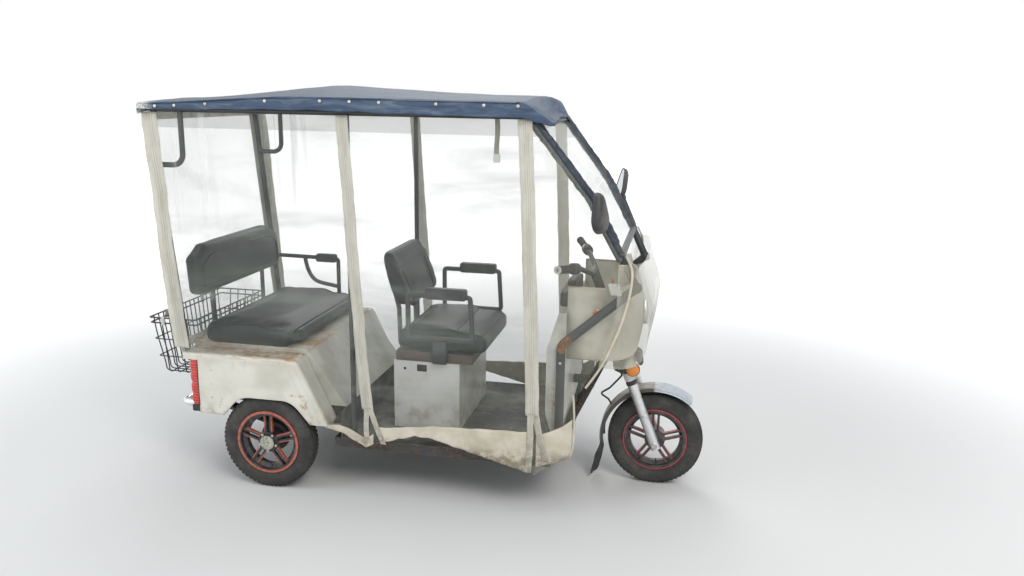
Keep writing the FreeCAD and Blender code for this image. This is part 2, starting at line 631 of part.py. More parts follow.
# Chassis
railBottom = "floorTop - floorSheet - railHeight"
frameParts = []
for side, low in (("right", "-sideRailHalf"), ("left", "sideRailHalf - railWidth")):
    frameParts.append(block(side + "_side_rail", "floorRear - railWidth", low, railBottom,
                            "floorFront - floorRear + railWidth", "railWidth", "railHeight"))
crossPlaces = [("rear", "floorRear - railWidth"), ("middle", "(floorRear + floorFront) / 2"),
               ("front", "floorFront - railWidth")]
for place, u in crossPlaces:
    frameParts.append(block(place + "_cross_member", u, "-sideRailHalf", railBottom, "railWidth",
                            "2 * sideRailHalf", "railHeight"))
for side, centre in (("right", "-rearRailCentre"), ("left", "rearRailCentre")):
    low = f"{centre} - railWidth / 2"
    frameParts.append(block(side + "_rear_rail", "rearRailEnd", low, "rearRailTop - rearRailHeight",
                            "floorRear - rearRailEnd", "railWidth", "rearRailHeight"))
    frameParts.append(block(side + "_upright", "floorRear - railWidth", low, railBottom, "railWidth",
                            "railWidth",
                            f"rearRailTop - ({railBottom})"))
    for end, u in (("front", "springHalfLength - springEye"), ("rear", "-springHalfLength")):
        hangerFoot = "springEyeHeight + springThickness"
        frameParts.append(block(f"{side}_{end}_hanger", u, low, hangerFoot, "springEye", "railWidth",
                                f"rearRailTop - ({hangerFoot})"))
for place, u in (("rear_bridge", "rearRailEnd"), ("axle_bridge", "springSeat")):
    frameParts.append(block(place, u, "-rearRailCentre", "rearRailTop - rearRailHeight", "railWidth",
                            "2 * rearRailCentre", "rearRailHeight"))
frameParts.append(block("guard_foot_member", "floorFront", "-guardFootHalf - guardRadius", railBottom,
                        "guardFootU + guardRadius - floorFront", "2 * (guardFootHalf + guardRadius)",
                        "railHeight"))
headBottom = s.lowerYoke + s.yokeDepth + s.yokeGap
headTop = s.upperYoke - s.yokeGap
neckFoot = at(s.floorFront + s.railWidth / 2, 0, s.floorTop - s.floorSheet - s.railHeight / 2)
neckTop = onHead((headBottom + s.upperYoke) / 2 - 2 * s.headTubeRadius)
neck = [
    tube([neckFoot, neckTop], s.postRadius * 1.5),
    Part.makeCylinder(s.headTubeRadius, headTop - headBottom, onHead(headBottom), axisUp),
]
bracketHeight = (neckFoot.z + neckTop.z) / 2 + s.headTubeRadius
bracketFront = neckFoot + (neckTop - neckFoot) * ((bracketHeight - neckFoot.z) / (neckTop.z - neckFoot.z))
bracketRear = at(s.shieldFront + s.fitGap, 0, bracketHeight)
neck.append(Part.makeBox(bracketFront.x - bracketRear.x, s.railWidth, s.railWidth,
                         bracketRear - V(0, s.railWidth / 2, s.railWidth / 2)))
headBore = Part.makeCylinder(s.stemRadius + s.runningClearance, s.upperYoke,
                             onHead(headBottom - s.yokeGap), axisUp)
neckItem = doc.addObject("Part::Feature", "steering_neck")
neckItem.Shape = fused(neck).cut(headBore)
subPart("chassis_frame", joined("chassis_frame", "Part::MultiFuse", frameParts + [neckItem]))

floorCorners = [("floorRear", "rearRailTop"), ("floorRear + floorSheet", "rearRailTop"),
                ("floorRear + floorSheet", "floorTop"), ("floorFront", "floorTop"),
                ("floorFront", "floorTop - floorSheet"), ("floorRear", "floorTop - floorSheet")]
subPart("floor_pan", sideBody("floor_pan", floorCorners, "-sideRailHalf", "2 * sideRailHalf"))
subPart("battery_pack", block("battery_pack", "batteryRear", "-batteryWidth / 2", "rearRailTop",
                              "batteryLength",
                              "batteryWidth", "batteryHeight"))

# Moulded rear body
panelCorners = [("bodyRearEdge", "bodyBottom"), ("archRear", "bodyBottom"), ("archTopRear", "archHeight"),
                ("archTopFront", "archHeight"), ("archFront", "fenderFootHeight"),
                ("fenderFoot", "fenderFootHeight"), ("fenderShoulder", "bodyTop"), ("bodyRearTop", "bodyTop"),
                ("bodyRearTop", "lampNotch"), ("bodyRearEdge", "lampNotch")]
returnCorners = [("bodyRearEdge", "bodyBottom"), ("bodyRearEdge", "lampNotch"), ("bodyRearTop", "lampNotch"),
                 ("bodyRearTop", "bodyTop"), ("fenderShoulder", "bodyTop"),
                 ("fenderFoot", "fenderFootHeight"),
                 ("fenderFoot - 1.2 * bodySkin", "fenderFootHeight"),
                 ("fenderShoulder - bodySkin / 2", "bodyTop - bodySkin"),
                 ("bodyRearTop + bodySkin", "bodyTop - bodySkin"),
                 ("bodyRearTop + bodySkin", "lampNotch + bodySkin"),
                 ("bodyRearEdge + bodySkin", "lampNotch + bodySkin"),
                 ("bodyRearEdge + bodySkin", "bodyBottom")]
panel = sideBody("quarter_panel_right", panelCorners, "bodyHalf - bodySkin", "bodySkin")
returnSketch = outline(panel, "quarter_return_outline", "XZ_Plane", returnCorners, "tubHalf + fitGap")
pad(panel, "quarter_return", returnSketch, "bodyHalf - bodySkin - tubHalf - fitGap")
lipCorners = [("archRear - archLip", "bodyBottom"), ("archTopRear - 0.6 * archLip", "archHeight + archLip"),
              ("archTopFront + 0.6 * archLip", "archHeight + archLip"),
              ("archFront + archLip", "fenderFootHeight"),
              ("archFront", "fenderFootHeight"), ("archTopFront", "archHeight"),
              ("archTopRear", "archHeight"),
              ("archRear", "bodyBottom")]
lipSketch = outline(panel, "quarter_lip_outline", "XZ_Plane", lipCorners, "bodyHalf - bodySkin / 2")
pad(panel, "quarter_lip", lipSketch, "bodySkin / 2 + archLipHeight")
subPart("quarter_panel_right", panel)
subPart("quarter_panel_left", mirrored("quarter_panel_left", panel))

baseCorners = [("rearRailEnd - bodySkin", "rearRailTop"), ("bodyRearTop", "seatBaseTop"),
               ("seatBaseFront", "seatBaseTop"), ("floorRear - fitGap", "rearRailTop")]
hollowCorners = [("rearRailEnd - bodySkin + seatBaseWall", "rearRailTop - seatBaseWall"),
                 ("bodyRearTop + seatBaseWall", "seatBaseTop - seatBaseWall"),
                 ("seatBaseFront - seatBaseWall", "seatBaseTop - seatBaseWall"),
                 ("floorRear - 2 * seatBaseWall", "rearRailTop - seatBaseWall")]
seatBase = sideBody("rear_seat_base", baseCorners, "-tubHalf", "2 * tubHalf")
hollow = seatBase.newObject("PartDesign::Pocket", "rear_seat_base_hollow")
hollow.Profile = outline(seatBase, "rear_seat_base_hollow_outline", "XZ_Plane", hollowCorners,
                         "-tubHalf + seatBaseWall")
hollow.Reversed = True
bind(hollow, Length="2 * (tubHalf - seatBaseWall)")
subPart("rear_seat_base", seatBase)

# Tail lamps: a straight front with lobes down the rear
lampFront = s.bodyRearEdge - s.fitGap
lampTop = s.lampNotch - s.fitGap
lampBack = lampFront - s.lampLength
lobeHeight = s.lampHeight / s.lampLobes
lampFoot = lampTop - s.lampHeight
lampEdges = [Part.LineSegment(at(lampBack + s.lampLobe, -s.bodyHalf, lampTop),
                              at(lampFront, -s.bodyHalf, lampTop)),
             Part.LineSegment(at(lampFront, -s.bodyHalf, lampTop), at(lampFront, -s.bodyHalf, lampFoot)),
             Part.LineSegment(at(lampFront, -s.bodyHalf, lampFoot),
                              at(lampBack + s.lampLobe, -s.bodyHalf, lampFoot))]
for lobe in range(int(s.lampLobes)):
    low, middle, high = (lampFoot + lobeHeight * (lobe + share) for share in (0, 0.5, 1))
    lampEdges.append(Part.Arc(at(lampBack + s.lampLobe, -s.bodyHalf, low), at(lampBack, -s.bodyHalf, middle),
                              at(lampBack + s.lampLobe, -s.bodyHalf, high)))
lampWire = Part.Wire(Part.__sortEdges__([edge.toShape() for edge in lampEdges]))
lampSolid = Part.Face(lampWire).extrude(V(0, s.lampWidth, 0))
shaped("tail_lamps", Part.makeCompound([lampSolid, lampSolid.mirror(V(), V(0, 1, 0))]))

# Bumper and basket
bumperRear = [at(s.rearRailEnd - s.bodySkin, -s.bumperHalf, s.bumperHeight),
              at(s.bumperBack, -s.bumperHalf, s.bumperHeight)]
bumperPath = bumperRear + [across(point) for point in reversed(bumperRear)]
bumperSolids = [tube(bumperPath, s.bumperRadius, s.bumperRadius * 2)]
for side in (-1, 1):
    bracketLow = at(s.bumperBack, side * s.rearRailCentre - s.bumperBracket / 2,
                    s.rearRailTop - s.rearRailHeight)
    bumperSolids.append(Part.makeBox(s.rearRailEnd - s.bumperBack, s.bumperBracket, s.bumperRadius,
                                     bracketLow))
shaped("rear_bumper", fused(bumperSolids))


def basketBox(inset, top):
    """The basket's tapering box, pulled in by the inset."""
    levels = [(s.basketBottom + inset, s.basketBottomHalf - inset, s.basketTaper),
              (top, s.basketTopHalf - inset, 0)]
    wires = []
    for height, half, lean in levels:
        back = lean - s.rearOverhang + inset
        front = s.basketFront - inset
        corners = [at(back, -half, height), at(front, -half, height), at(front, half, height),
                   at(back, half, height)]
        wires.append(Part.makePolygon(corners + corners[:1]))
    return Part.makeLoft(wires, True, True)


def meshRows(first, last, pitch):
    """Low and high edges of the openings between evenly spaced wires, as shares of the way."""
    count = round(abs(last - first) / pitch)
    wire = s.basketWall / abs(last - first)
    return [(index / count + wire / 2, (index + 1) / count - wire / 2) for index in range(count)]


def basketLevel(height):
    """The half width, the back and the front of the basket at a height."""
    share = (height - s.basketBottom) / (s.basketTop - s.basketBottom)
    half = s.basketBottomHalf + (s.basketTopHalf - s.basketBottomHalf) * share
    return half, s.basketTaper * (1 - share) - s.rearOverhang, s.basketFront


def opening(low, high, left, right, turned):
    """A prism through both walls between two heights; left and right are shares of the way along a wall."""
    corners = []
    for height, shares in ((low, (left, right)), (high, (right, left))):
        half, back, front = basketLevel(height)
        for share in shares:
            y = 2 * half * share - half
            u = back + (front - back) * share
            corners.append(at(u, -2 * half, height) if turned else at(2 * back, y, height))
    through = V(0, 4 * s.basketTopHalf, 0) if turned else V(2 * s.rearOverhang, 0, 0)
    return polygonPrism(corners, through)


wallFoot = s.basketBottom + s.basketWall
wallTop = s.basketTop - s.basketRim
sideCells = meshRows(s.basketTaper - s.rearOverhang, s.basketFront, s.basketPitch)
backCells = meshRows(-s.basketBottomHalf, s.basketBottomHalf, s.basketPitch)
openings = []
for low, high in meshRows(wallFoot, wallTop, s.basketPitch):
    lowHeight = wallFoot + (wallTop - wallFoot) * low
    highHeight = wallFoot + (wallTop - wallFoot) * high
    openings += [opening(lowHeight, highHeight, left, right, False) for left, right in backCells]
    openings += [opening(lowHeight, highHeight, left, right, True) for left, right in sideCells]
floorHalf, floorBack, floorEnd = basketLevel(s.basketBottom)
for left, right in backCells:
    for rear, fore in sideCells:
        low = at(floorBack + (floorEnd - floorBack) * rear, floorHalf * (2 * left - 1),
                 s.basketBottom - s.basketWall)
        openings.append(Part.makeBox((floorEnd - floorBack) * (fore - rear), 2 * floorHalf * (right - left),
                                     3 * s.basketWall, low))
basket = basketBox(0, s.basketTop).cut(basketBox(s.basketWall, s.basketTop + s.basketWall))
basket = basket.cut(openings)
hooks = []
hookHeight = s.archHeight + s.basketBracket
baseFoot = s.rearRailEnd - s.bodySkin
baseLean = (baseFoot - s.bodyRearTop) / (s.seatBaseTop - s.rearRailTop)
hookEnd = baseFoot - baseLean * (hookHeight + s.basketBracket - s.rearRailTop) - s.fitGap
for side in (-1, 1):
    hookLow = at(s.basketFront - s.basketWall / 2, side * s.rearRailCentre / 2 - s.basketBracket / 2,
                 hookHeight)
    hooks.append(Part.makeBox(hookEnd - s.basketFront + s.basketWall / 2, s.basketBracket, s.basketBracket,
                              hookLow))
shaped("rear_basket", fused([basket] + hooks))

# Roof cover: a sheet with a crown, edges and hanging valances, lofted through four sections
# Columns: place along the vehicle, half width, edge height, crown height, lower edge of the valance
roofTable = [
    (s.roofRearEnd, s.roofHalf, s.roofRearEdge, s.roofRearCrown, s.valanceRear),
    (s.roofHump, s.roofHalf, s.roofMidEdge, s.roofMidCrown, s.valanceMid),
    (s.roofBrow, s.roofHalf, s.roofBrowEdge, s.roofBrowCrown, s.valanceBrow),
    (s.visorTip, s.roofFrontHalf, s.visorEdge, s.visorCrown, s.visorEdge - 3 * s.roofSheet),
]
roofWires = []
for u, half, edge, crown, hem in roofTable:
    outer = [at(u, -half, hem), at(u, -half, edge), at(u, -half / 2, (edge + 2 * crown) / 3), at(u, 0, crown)]
    inner = [at(u, s.roofSheet - half, hem), at(u, s.roofSheet - half, edge - s.roofSheet),
             at(u, -half / 2, (edge + 2 * crown) / 3 - s.roofSheet), at(u, 0, crown - s.roofSheet)]
    outer += [across(point) for point in reversed(outer[:-1])]
    inner += [across(point) for point in reversed(inner[:-1])]
    loop = outer + inner[::-1]
    roofWires.append(Part.makePolygon(loop + loop[:1]))
shaped("roof_cover", Part.makeLoft(roofWires, True, True))

# Roof frame: posts, rails, bows and the corner braces
rearLean = (s.rearPostTop - s.rearPostFoot) / (s.roofRailHeight - s.bodyTop)
frameTubes = []
for side in (-1, 1):
    y = side * s.postHalf
    foot = at(s.rearPostFoot, y, s.bodyTop - rearLean * s.postRadius)
    corner = at(s.rearPostTop, y, s.roofRailHeight)
    frameTubes.append(tube([foot, corner, at(s.roofRailFront, y, s.roofRailHeight)], s.postRadius))
    frameTubes.append(tube([at(s.midPost, y, s.floorTop), at(s.midPost, y, s.roofRailHeight)], s.braceRadius))
    footLow = at(s.midPost - s.railWidth / 2, min(y, side * (s.sideRailHalf - s.railWidth)), s.floorTop)
    frameTubes.append(Part.makeBox(s.railWidth, s.postHalf - s.sideRailHalf + s.railWidth, s.bodySkin,
                                   footLow))
    braceFoot = s.roofRailHeight - s.braceDrop
    braceU = s.rearPostTop + s.braceForward
    braceEnd = s.rearPostTop - rearLean * s.braceDrop
    frameTubes.append(tube([at(braceU, y, s.roofRailHeight), at(braceU, y, braceFoot),
                            at(braceEnd, y, braceFoot)],
                           s.braceRadius, s.braceBend))


def roofInside(u, y):
    """Height of the cover's inner face over a point."""
    for (rearU, rearHalf, rearEdge, rearCrown), (frontU, frontHalf, frontEdge, frontCrown) in zip(
            [row[:4] for row in roofTable], [row[:4] for row in roofTable[1:]]):
        if rearU <= u <= frontU:
            share = (u - rearU) / (frontU - rearU)
            edge = rearEdge + (frontEdge - rearEdge) * share
            crown = rearCrown + (frontCrown - rearCrown) * share
            quarter = (edge + 2 * crown) / 3
            if y < s.roofHalf / 2:
                return crown + (quarter - crown) * 2 * y / s.roofHalf - s.roofSheet
            return quarter + (edge - quarter) * (2 * y / s.roofHalf - 1) - s.roofSheet


for u in (s.rearPostTop + 2 * s.postRadius, s.roofHump, s.roofRailFront - 3 * s.postRadius):
    lower = s.braceRadius + 2 * s.fitGap
    bow = [at(u, -y, roofInside(u, y) - lower) for y in (s.postHalf, s.roofHalf / 2, 0)]
    bow += [across(point) for point in reversed(bow[:-1])]
    frameTubes.append(tube(bow, s.braceRadius))
    for end in (bow[0], bow[-1]):
        frameTubes.append(tube([at(u, end.y, s.roofRailHeight), end + V(0, 0, s.fitGap)],
                               s.braceRadius * 0.8))
shaped("roof_frame", fused(frameTubes))

# Windscreen hoop: guard tubes, pillars and header
guardFoot = at(s.guardFootU, -s.guardFootHalf, s.floorTop - s.floorSheet)
guardBend = at(s.guardFootU, -s.guardFootHalf, s.guardFootHeight)
guardTop = at(s.guardTopU, -s.guardTopHalf, s.guardTopHeight)
pillarBase = at(s.pillarBaseU, -s.pillarBaseHalf, s.pillarBaseHeight)
pillarMid = at(s.pillarMidU, -s.pillarMidHalf, s.pillarMidHeight)
pillarTop = at(s.pillarTopU, -s.pillarTopHalf, s.pillarTopHeight)
hoop = []
for side in (1, -1):
    lower = [guardFoot, guardBend, guardTop]
    upper = [guardTop, pillarBase, pillarMid, pillarTop]
    if side < 0:
        lower = [across(point) for point in lower]
        upper = [across(point) for point in upper]
    hoop += [tube(lower, s.guardRadius, s.guardBend), tube(upper, s.pillarRadius, s.guardBend * 2),
             Part.makeSphere(s.guardRadius + s.paneWall, lower[-1])]
for point in (pillarTop, pillarBase):
    hoop.append(tube([point, across(point)], s.windscreenBarRadius))
shaped("windscreen_frame", fused(hoop))

paneWires = []
paneShift = V(s.paneWall * math.cos(rakeAngle), 0, s.paneWall * math.sin(rakeAngle))
paneEnd = s.windscreenBarRadius + s.fitGap
for point, lift in ((pillarBase, paneEnd), (pillarMid, 0), (pillarTop, -paneEnd)):
    along = (pillarTop - pillarBase).normalize() * lift
    inward = V(0, s.pillarRadius + s.fitGap * 6, 0)
    low = point + along + inward - paneShift / 2
    corners = [low, low + paneShift, across(low + paneShift), across(low)]
    paneWires.append(Part.makePolygon(corners + corners[:1]))
shaped("windscreen_pane", Part.makeLoft(paneWires, True, True))

# Side, corner and rear curtains
curtainInner = s.postHalf + s.postRadius + s.fitGap
slopeRun = s.fenderFoot - s.fenderShoulder
sideCorners = [
    (s.rearPostFoot - s.postRadius, s.bodyTop + s.fitGap), (s.rearPostTop, s.curtainTop),
    (s.curtainSplit, s.curtainTop), (s.curtainSplitFoot, s.curtainDip),
    ((s.midPost + s.curtainSplit) / 2, s.curtainHem),
    (s.curtainRearFoot, s.curtainHem), (s.fenderShoulder + slopeRun + s.curtainSheet, s.bodyBottom),
    (s.fenderShoulder + s.curtainSheet, s.bodyTop + s.fitGap),
]
sideSheet = polygonPrism([at(u, -curtainInner, z) for u, z in sideCorners], V(0, -s.curtainSheet, 0))
shaped("side_curtain_right", sideSheet)
shaped("side_curtain_left", sideSheet.mirror(V(), V(0, 1, 0)))

cornerCorners = [
    (s.curtainSplit + s.fitGap, s.curtainTop), (s.pillarTopU, s.pillarTopHeight),
    (s.pillarMidU, s.pillarMidHeight),
    (s.apronRear - s.apronLap, s.apronTop + s.pillarRadius), (s.apronRear - s.apronLap, s.apronMiddle),
    (s.apronBottomRear - s.apronLap, s.apronBottom),
    (s.curtainSplitFoot + s.cornerRun, s.curtainDip + s.railHeight),
    (s.curtainSplitFoot + s.fitGap, s.curtainDip),
]


def cornerPoint(u, z):
    return at(u, (u - s.curtainSplit) * s.cornerIn - curtainInner, z)


cornerOut = V(s.cornerIn, -1, 0).normalize() * s.curtainSheet
cornerSheet = polygonPrism([cornerPoint(u, z) for u, z in cornerCorners], cornerOut)
shaped("corner_curtain_right", cornerSheet)
shaped("corner_curtain_left", cornerSheet.mirror(V(), V(0, 1, 0)))

rearOut = s.rearPostFoot - s.bodyRearTop + s.fitGap
curtainLean = V(s.rearPostTop - s.rearPostFoot, 0, s.roofRailHeight - s.bodyTop).normalize()
curtainBack = V(-curtainLean.z, 0, curtainLean.x)
rearFoot = at(s.rearPostFoot, -s.postHalf - s.postRadius, s.bodyTop + 6 * s.fitGap) + curtainBack * rearOut
rearTop = rearFoot + curtainLean * ((s.curtainTop - rearFoot.z) / curtainLean.z)
rearCorners = [rearFoot, rearTop, across(rearTop), across(rearFoot)]
shaped("rear_curtain", polygonPrism(rearCorners, curtainBack * s.curtainSheet))

# Apron and fairing: open plan sections lofted between three heights
def nose(levels, wall):
    """A wall lofted through plan sections; columns: height, rear, shoulder, front, three half widths."""
    wires = []
    for height, rear, shoulder, front, rearHalf, shoulderHalf, frontHalf in levels:
        outer = [at(rear, -rearHalf, height), at(shoulder, -shoulderHalf, height),
                 at(front, -frontHalf, height)]
        inner = [at(rear, wall - rearHalf, height), at(shoulder - wall, wall - shoulderHalf, height),
                 at(front - wall, wall - frontHalf, height)]
        outer += [across(point) for point in reversed(outer)]
        inner += [across(point) for point in reversed(inner)]
        loop = outer + inner[::-1]
        wires.append(Part.makePolygon(loop + loop[:1]))
    return Part.makeLoft(wires, True, True)


apronLevels = []
for height, rear, front in ((s.apronBottom, s.apronBottomRear, s.apronBottomReach),
                            (s.apronMiddle, s.apronRear, s.apronReach),
                            (s.apronTop, s.apronRear, s.apronTopReach)):
    apronLevels.append((height, rear, front - s.apronSetback, front, s.apronHalf, s.apronShoulder,
                        s.apronFlat))
shaped("front_apron", nose(apronLevels, s.curtainSheet))
fairingLevels = []
for height, front in ((s.noseBottom, s.noseBottomReach), (s.noseMiddle, s.noseReach),
                      (s.noseTop, s.noseTopReach)):
    fairingLevels.append((height, s.shieldFront + s.fitGap, front - s.guardBend, front, s.noseHalf,
                          s.noseHalf, s.noseFlat))
shaped("front_fairing", nose(fairingLevels, s.noseWall))

headlamp = doc.addObject("Part::Cylinder", "headlamp")
headlamp.Placement = FreeCAD.Placement(V(), FreeCAD.Rotation(V(0, 1, 0), 90))
bind(headlamp, Radius="headlampRadius", Height="headlampDepth", Placement__Base__z="noseMiddle",
     Placement__Base__x=rearAxle + " + noseReach + fitGap")
subPart("headlamp", headlamp)

# Leg shield and dash
shieldHalf = "guardFootHalf - guardRadius - fitGap"
shieldCorners = [("floorFront", "floorTop"), ("floorFront + shieldWall", "floorTop"),
                 ("shieldFront", "shieldBottom"), ("shieldFront", "shieldTop"),
                 ("shieldTopRear", "shieldTop"),
                 ("shieldRear", "shieldBend"), ("shieldRear", "shieldBottom")]
shieldHollow = [("floorFront", "floorTop"), ("shieldFront - shieldWall", "shieldBottom"),
                ("shieldFront - shieldWall", "shieldTop + shieldWall"),
                ("shieldRear - railWidth", "shieldTop + shieldWall"),
                ("shieldRear - railWidth", "floorTop")]
shield = sideBody("leg_shield", shieldCorners, f"-({shieldHalf})", f"2 * ({shieldHalf})")
shieldCut = shield.newObject("PartDesign::Pocket", "leg_shield_hollow")
shieldCut.Profile = outline(shield, "leg_shield_hollow_outline", "XZ_Plane", shieldHollow,
                            f"-({shieldHalf}) + shieldWall")
shieldCut.Reversed = True
bind(shieldCut, Length=f"2 * ({shieldHalf}) - 2 * shieldWall")
subPart("leg_shield", shield)
subPart("dash_panel", block("dash_panel", "dashRear", "-dashHalf", "shieldTop + fitGap",
                            "dashFront - dashRear",
                            "2 * dashHalf", "dashHeight"))

# Mirrors on arms from the pillar bases
def mirrorHead(back):
    """A teardrop outline, wide at the foot, with rounded edges."""
    wide = s.mirrorWide / 2
    lowCentre = back + V(0, 0, wide - s.mirrorTall / 2)
    highCentre = back + V(0, 0, s.mirrorTall / 2 - s.mirrorTop)
    lean = math.asin((wide - s.mirrorTop) / (highCentre.z - lowCentre.z))
    out = V(0, math.cos(lean), math.sin(lean))
    away = V(0, -out.y, out.z)
    edges = [Part.Arc(lowCentre + away * wide, lowCentre - V(0, 0, wide), lowCentre + out * wide),
             Part.LineSegment(lowCentre + out * wide, highCentre + out * s.mirrorTop),
             Part.Arc(highCentre + out * s.mirrorTop, highCentre + V(0, 0, s.mirrorTop),
                      highCentre + away * s.mirrorTop),
             Part.LineSegment(highCentre + away * s.mirrorTop, lowCentre + away * wide)]
    solid = Part.Face(Part.Wire([edge.toShape() for edge in edges])).extrude(V(s.mirrorDeep, 0, 0))
    return solid.makeFillet(s.mirrorDeep * 0.35, solid.Edges)


mirrorSolids = []
for side in (-1, 1):
    head = mirrorHead(at(s.mirrorU - s.mirrorDeep / 2, side * s.mirrorHalf, s.mirrorHeight))
    armFoot = at(s.pillarBaseU, side * (s.pillarBaseHalf + s.pillarRadius + s.fitGap), s.pillarBaseHeight)
    armKnee = armFoot + V(0, side * 2 * s.guardBend, 0)
    armTop = at(s.mirrorU, side * s.mirrorHalf, s.mirrorHeight - s.mirrorTall / 3)
    mirrorSolids.append(fused([head, tube([armFoot, armKnee, armTop], s.mirrorArmRadius)]))
shaped("mirrors", Part.makeCompound(mirrorSolids))


# Seats
def cushion(label, corners, half, roundness):
    """A side outline extruded across the vehicle with rounded edges."""
    solid = polygonPrism([at(u, -half, z) for u, z in corners], V(0, 2 * half, 0))
    return shaped(label, solid.makeFillet(roundness, solid.Edges))


def slab(rear, front, bottom, top):
    return [(rear, bottom), (front, bottom), (front, top), (rear, top)]


def leaningSlab(back, lean, depth, bottom, top):
    return [(back, bottom), (back + depth, bottom), (back + depth - lean, top), (back - lean, top)]


cushion("rear_seat_cushion", slab(s.rearCushionRear, s.rearCushionFront, s.seatBaseTop + s.fitGap,
                                  s.seatBaseTop + s.rearCushionHeight), s.rearCushionHalf, s.cushionRound)
cushion("rear_seat_backrest", leaningSlab(s.rearBackU, s.rearBackLean, s.rearBackDepth, s.rearBackBottom,
                                          s.rearBackTop), s.rearBackHalf, s.cushionRound)
seatPanTop = s.driverBoxTop + s.seatPanHeight
cushion("driver_seat_cushion", slab(s.driverCushionRear, s.driverCushionFront, seatPanTop + s.fitGap,
                                    seatPanTop + s.driverCushionHeight), s.driverCushionHalf, s.cushionRound)
cushion("driver_seat_backrest", leaningSlab(s.driverBackU, s.driverBackLean, s.driverBackDepth,
                                            s.driverBackBottom,
                                            s.driverBackTop), s.driverBackHalf, s.cushionRound)

boxLow = ("driverBoxRear", "-driverBoxHalf", "floorTop")
boxOuter = block("driver_box_outer", *boxLow, "driverBoxFront - driverBoxRear", "2 * driverBoxHalf",
                 "driverBoxTop - floorTop")
boxInner = block("driver_box_inner", "driverBoxRear + boxWall", "-driverBoxHalf + boxWall",
                 "floorTop - boxWall",
                 "driverBoxFront - driverBoxRear - 2 * boxWall", "2 * (driverBoxHalf - boxWall)",
                 "driverBoxTop - floorTop")
subPart("driver_seat_box", joined("driver_seat_box", "Part::Cut", [boxOuter, boxInner]))

# Driver's seat pan with the tubes that hold the backrest
pan = Part.makeBox(s.seatPanFront - s.driverCushionRear, 2 * s.driverBoxHalf - 4 * s.boxWall, s.seatPanHeight,
                   at(s.driverCushionRear, 2 * s.boxWall - s.driverBoxHalf, s.driverBoxTop))
panSolids = [pan]
for side in (-1, 1):
    y = side * s.driverBackHalf / 2
    backSlope = s.driverBackLean / (s.driverBackTop - s.driverBackBottom)
    behind = (s.seatTubeRadius + s.fitGap) * math.sqrt(1 + backSlope ** 2)
    panMiddle = s.driverBoxTop + s.seatPanHeight / 2
    backBend = at(s.driverBackU - behind, y, s.driverBackBottom)
    backTop = at(s.driverBackU - behind - s.driverBackLean / 2, y, (s.driverBackTop + s.driverBackBottom) / 2)
    panSolids.append(tube([at(s.driverCushionRear + s.cushionRound, y, panMiddle),
                           at(s.driverCushionRear - s.cushionRound, y, panMiddle), backBend, backTop],
                          s.seatTubeRadius, s.cushionRound))
shaped("driver_seat_frame", fused(panSolids))

# Armrests: looped tubes with pads beside the driver's seat
armSolids = []
for side in (-1, 1):
    y = side * s.driverArmHalf
    loop = [at(s.driverArmRear + s.guardBend, y, s.driverArmHeight),
            at(s.driverArmFront, y, s.driverArmHeight),
            at(s.driverArmFront + s.seatTubeRadius, y, s.driverArmFoot),
            at(s.driverArmRear, y, s.driverArmFoot), at(s.driverArmRear, y, s.driverArmHeight),
            at(s.driverArmRear + s.guardBend + s.seatTubeRadius, y, s.driverArmHeight)]
    rail = tube(loop, s.seatTubeRadius, s.cushionRound)
    padLow = at(s.armPadRear, y - s.armPadHalf, s.driverArmHeight)
    armPad = Part.makeBox(s.armPadLength, 2 * s.armPadHalf, s.armPadHeight, padLow)
    armPad = armPad.makeFillet(s.seatTubeRadius * 0.8, armPad.Edges)
    strap = Part.makeBox(2 * s.railWidth, s.driverArmHalf - s.driverBoxHalf + 2 * s.boxWall,
                         s.driverArmFoot - s.driverBoxTop - s.boxWall,
                         at((s.driverArmRear + s.driverArmFront) / 2,
                            side * s.driverBoxHalf - 2 * s.boxWall if side > 0 else -s.driverArmHalf,
                            s.driverBoxTop + s.boxWall))
    armSolids.append(fused([rail, armPad, strap]))
shaped("driver_armrests", Part.makeCompound(armSolids))

# Rear seat frame: backrest uprights and the left armrest
uprightU = s.rearBackU + s.rearBackDepth / 2
rearSolids = []
for side in (-1, 1):
    y = side * s.rearBackHalf * 0.6
    rearSolids.append(Part.makeCylinder(s.seatTubeRadius, s.rearBackBottom - s.seatBaseTop - s.fitGap,
                                        at(uprightU, y, s.seatBaseTop)))
armPath = [at(uprightU, s.rearBackHalf + s.fitGap, s.rearArmHeight),
           at(uprightU, s.rearArmHalf + s.guardBend / 3, s.rearArmHeight),
           at(s.rearArmFront, s.rearArmHalf, s.rearArmHeight), at(s.rearArmFront, s.rearArmHalf, s.bodyTop)]
rearSolids.append(tube(armPath, s.seatTubeRadius, s.seatTubeRadius * 1.5))
shaped("rear_seat_frame", Part.makeCompound(rearSolids))

# Fork: yokes with the stem and the stanchions, then the sliders with the spindle
yokeOutline = [(-s.headTubeRadius, -s.headTubeRadius),
               (s.forkOffset - s.sliderRadius, -s.legHalf - s.yokeMargin),
               (s.forkOffset + s.yokeMargin, -s.legHalf - s.yokeMargin)]
yokeOutline += [(forward, -y) for forward, y in reversed(yokeOutline)]
yokeSolids = [Part.makeCylinder(s.stemRadius, s.upperYoke - s.lowerYoke, onHead(s.lowerYoke), axisUp)]
for along in (s.lowerYoke, s.upperYoke):
    corners = [onHead(along, forward, y) for forward, y in yokeOutline]
    yokeSolids.append(polygonPrism(corners, axisUp * s.yokeDepth))
for side in (-1, 1):
    yokeSolids.append(Part.makeCylinder(s.stanchionRadius, s.upperYoke - s.sliderTop,
                                        onHead(s.sliderTop, s.forkOffset, side * s.legHalf), axisUp))
shaped("fork_yokes", fused(yokeSolids))

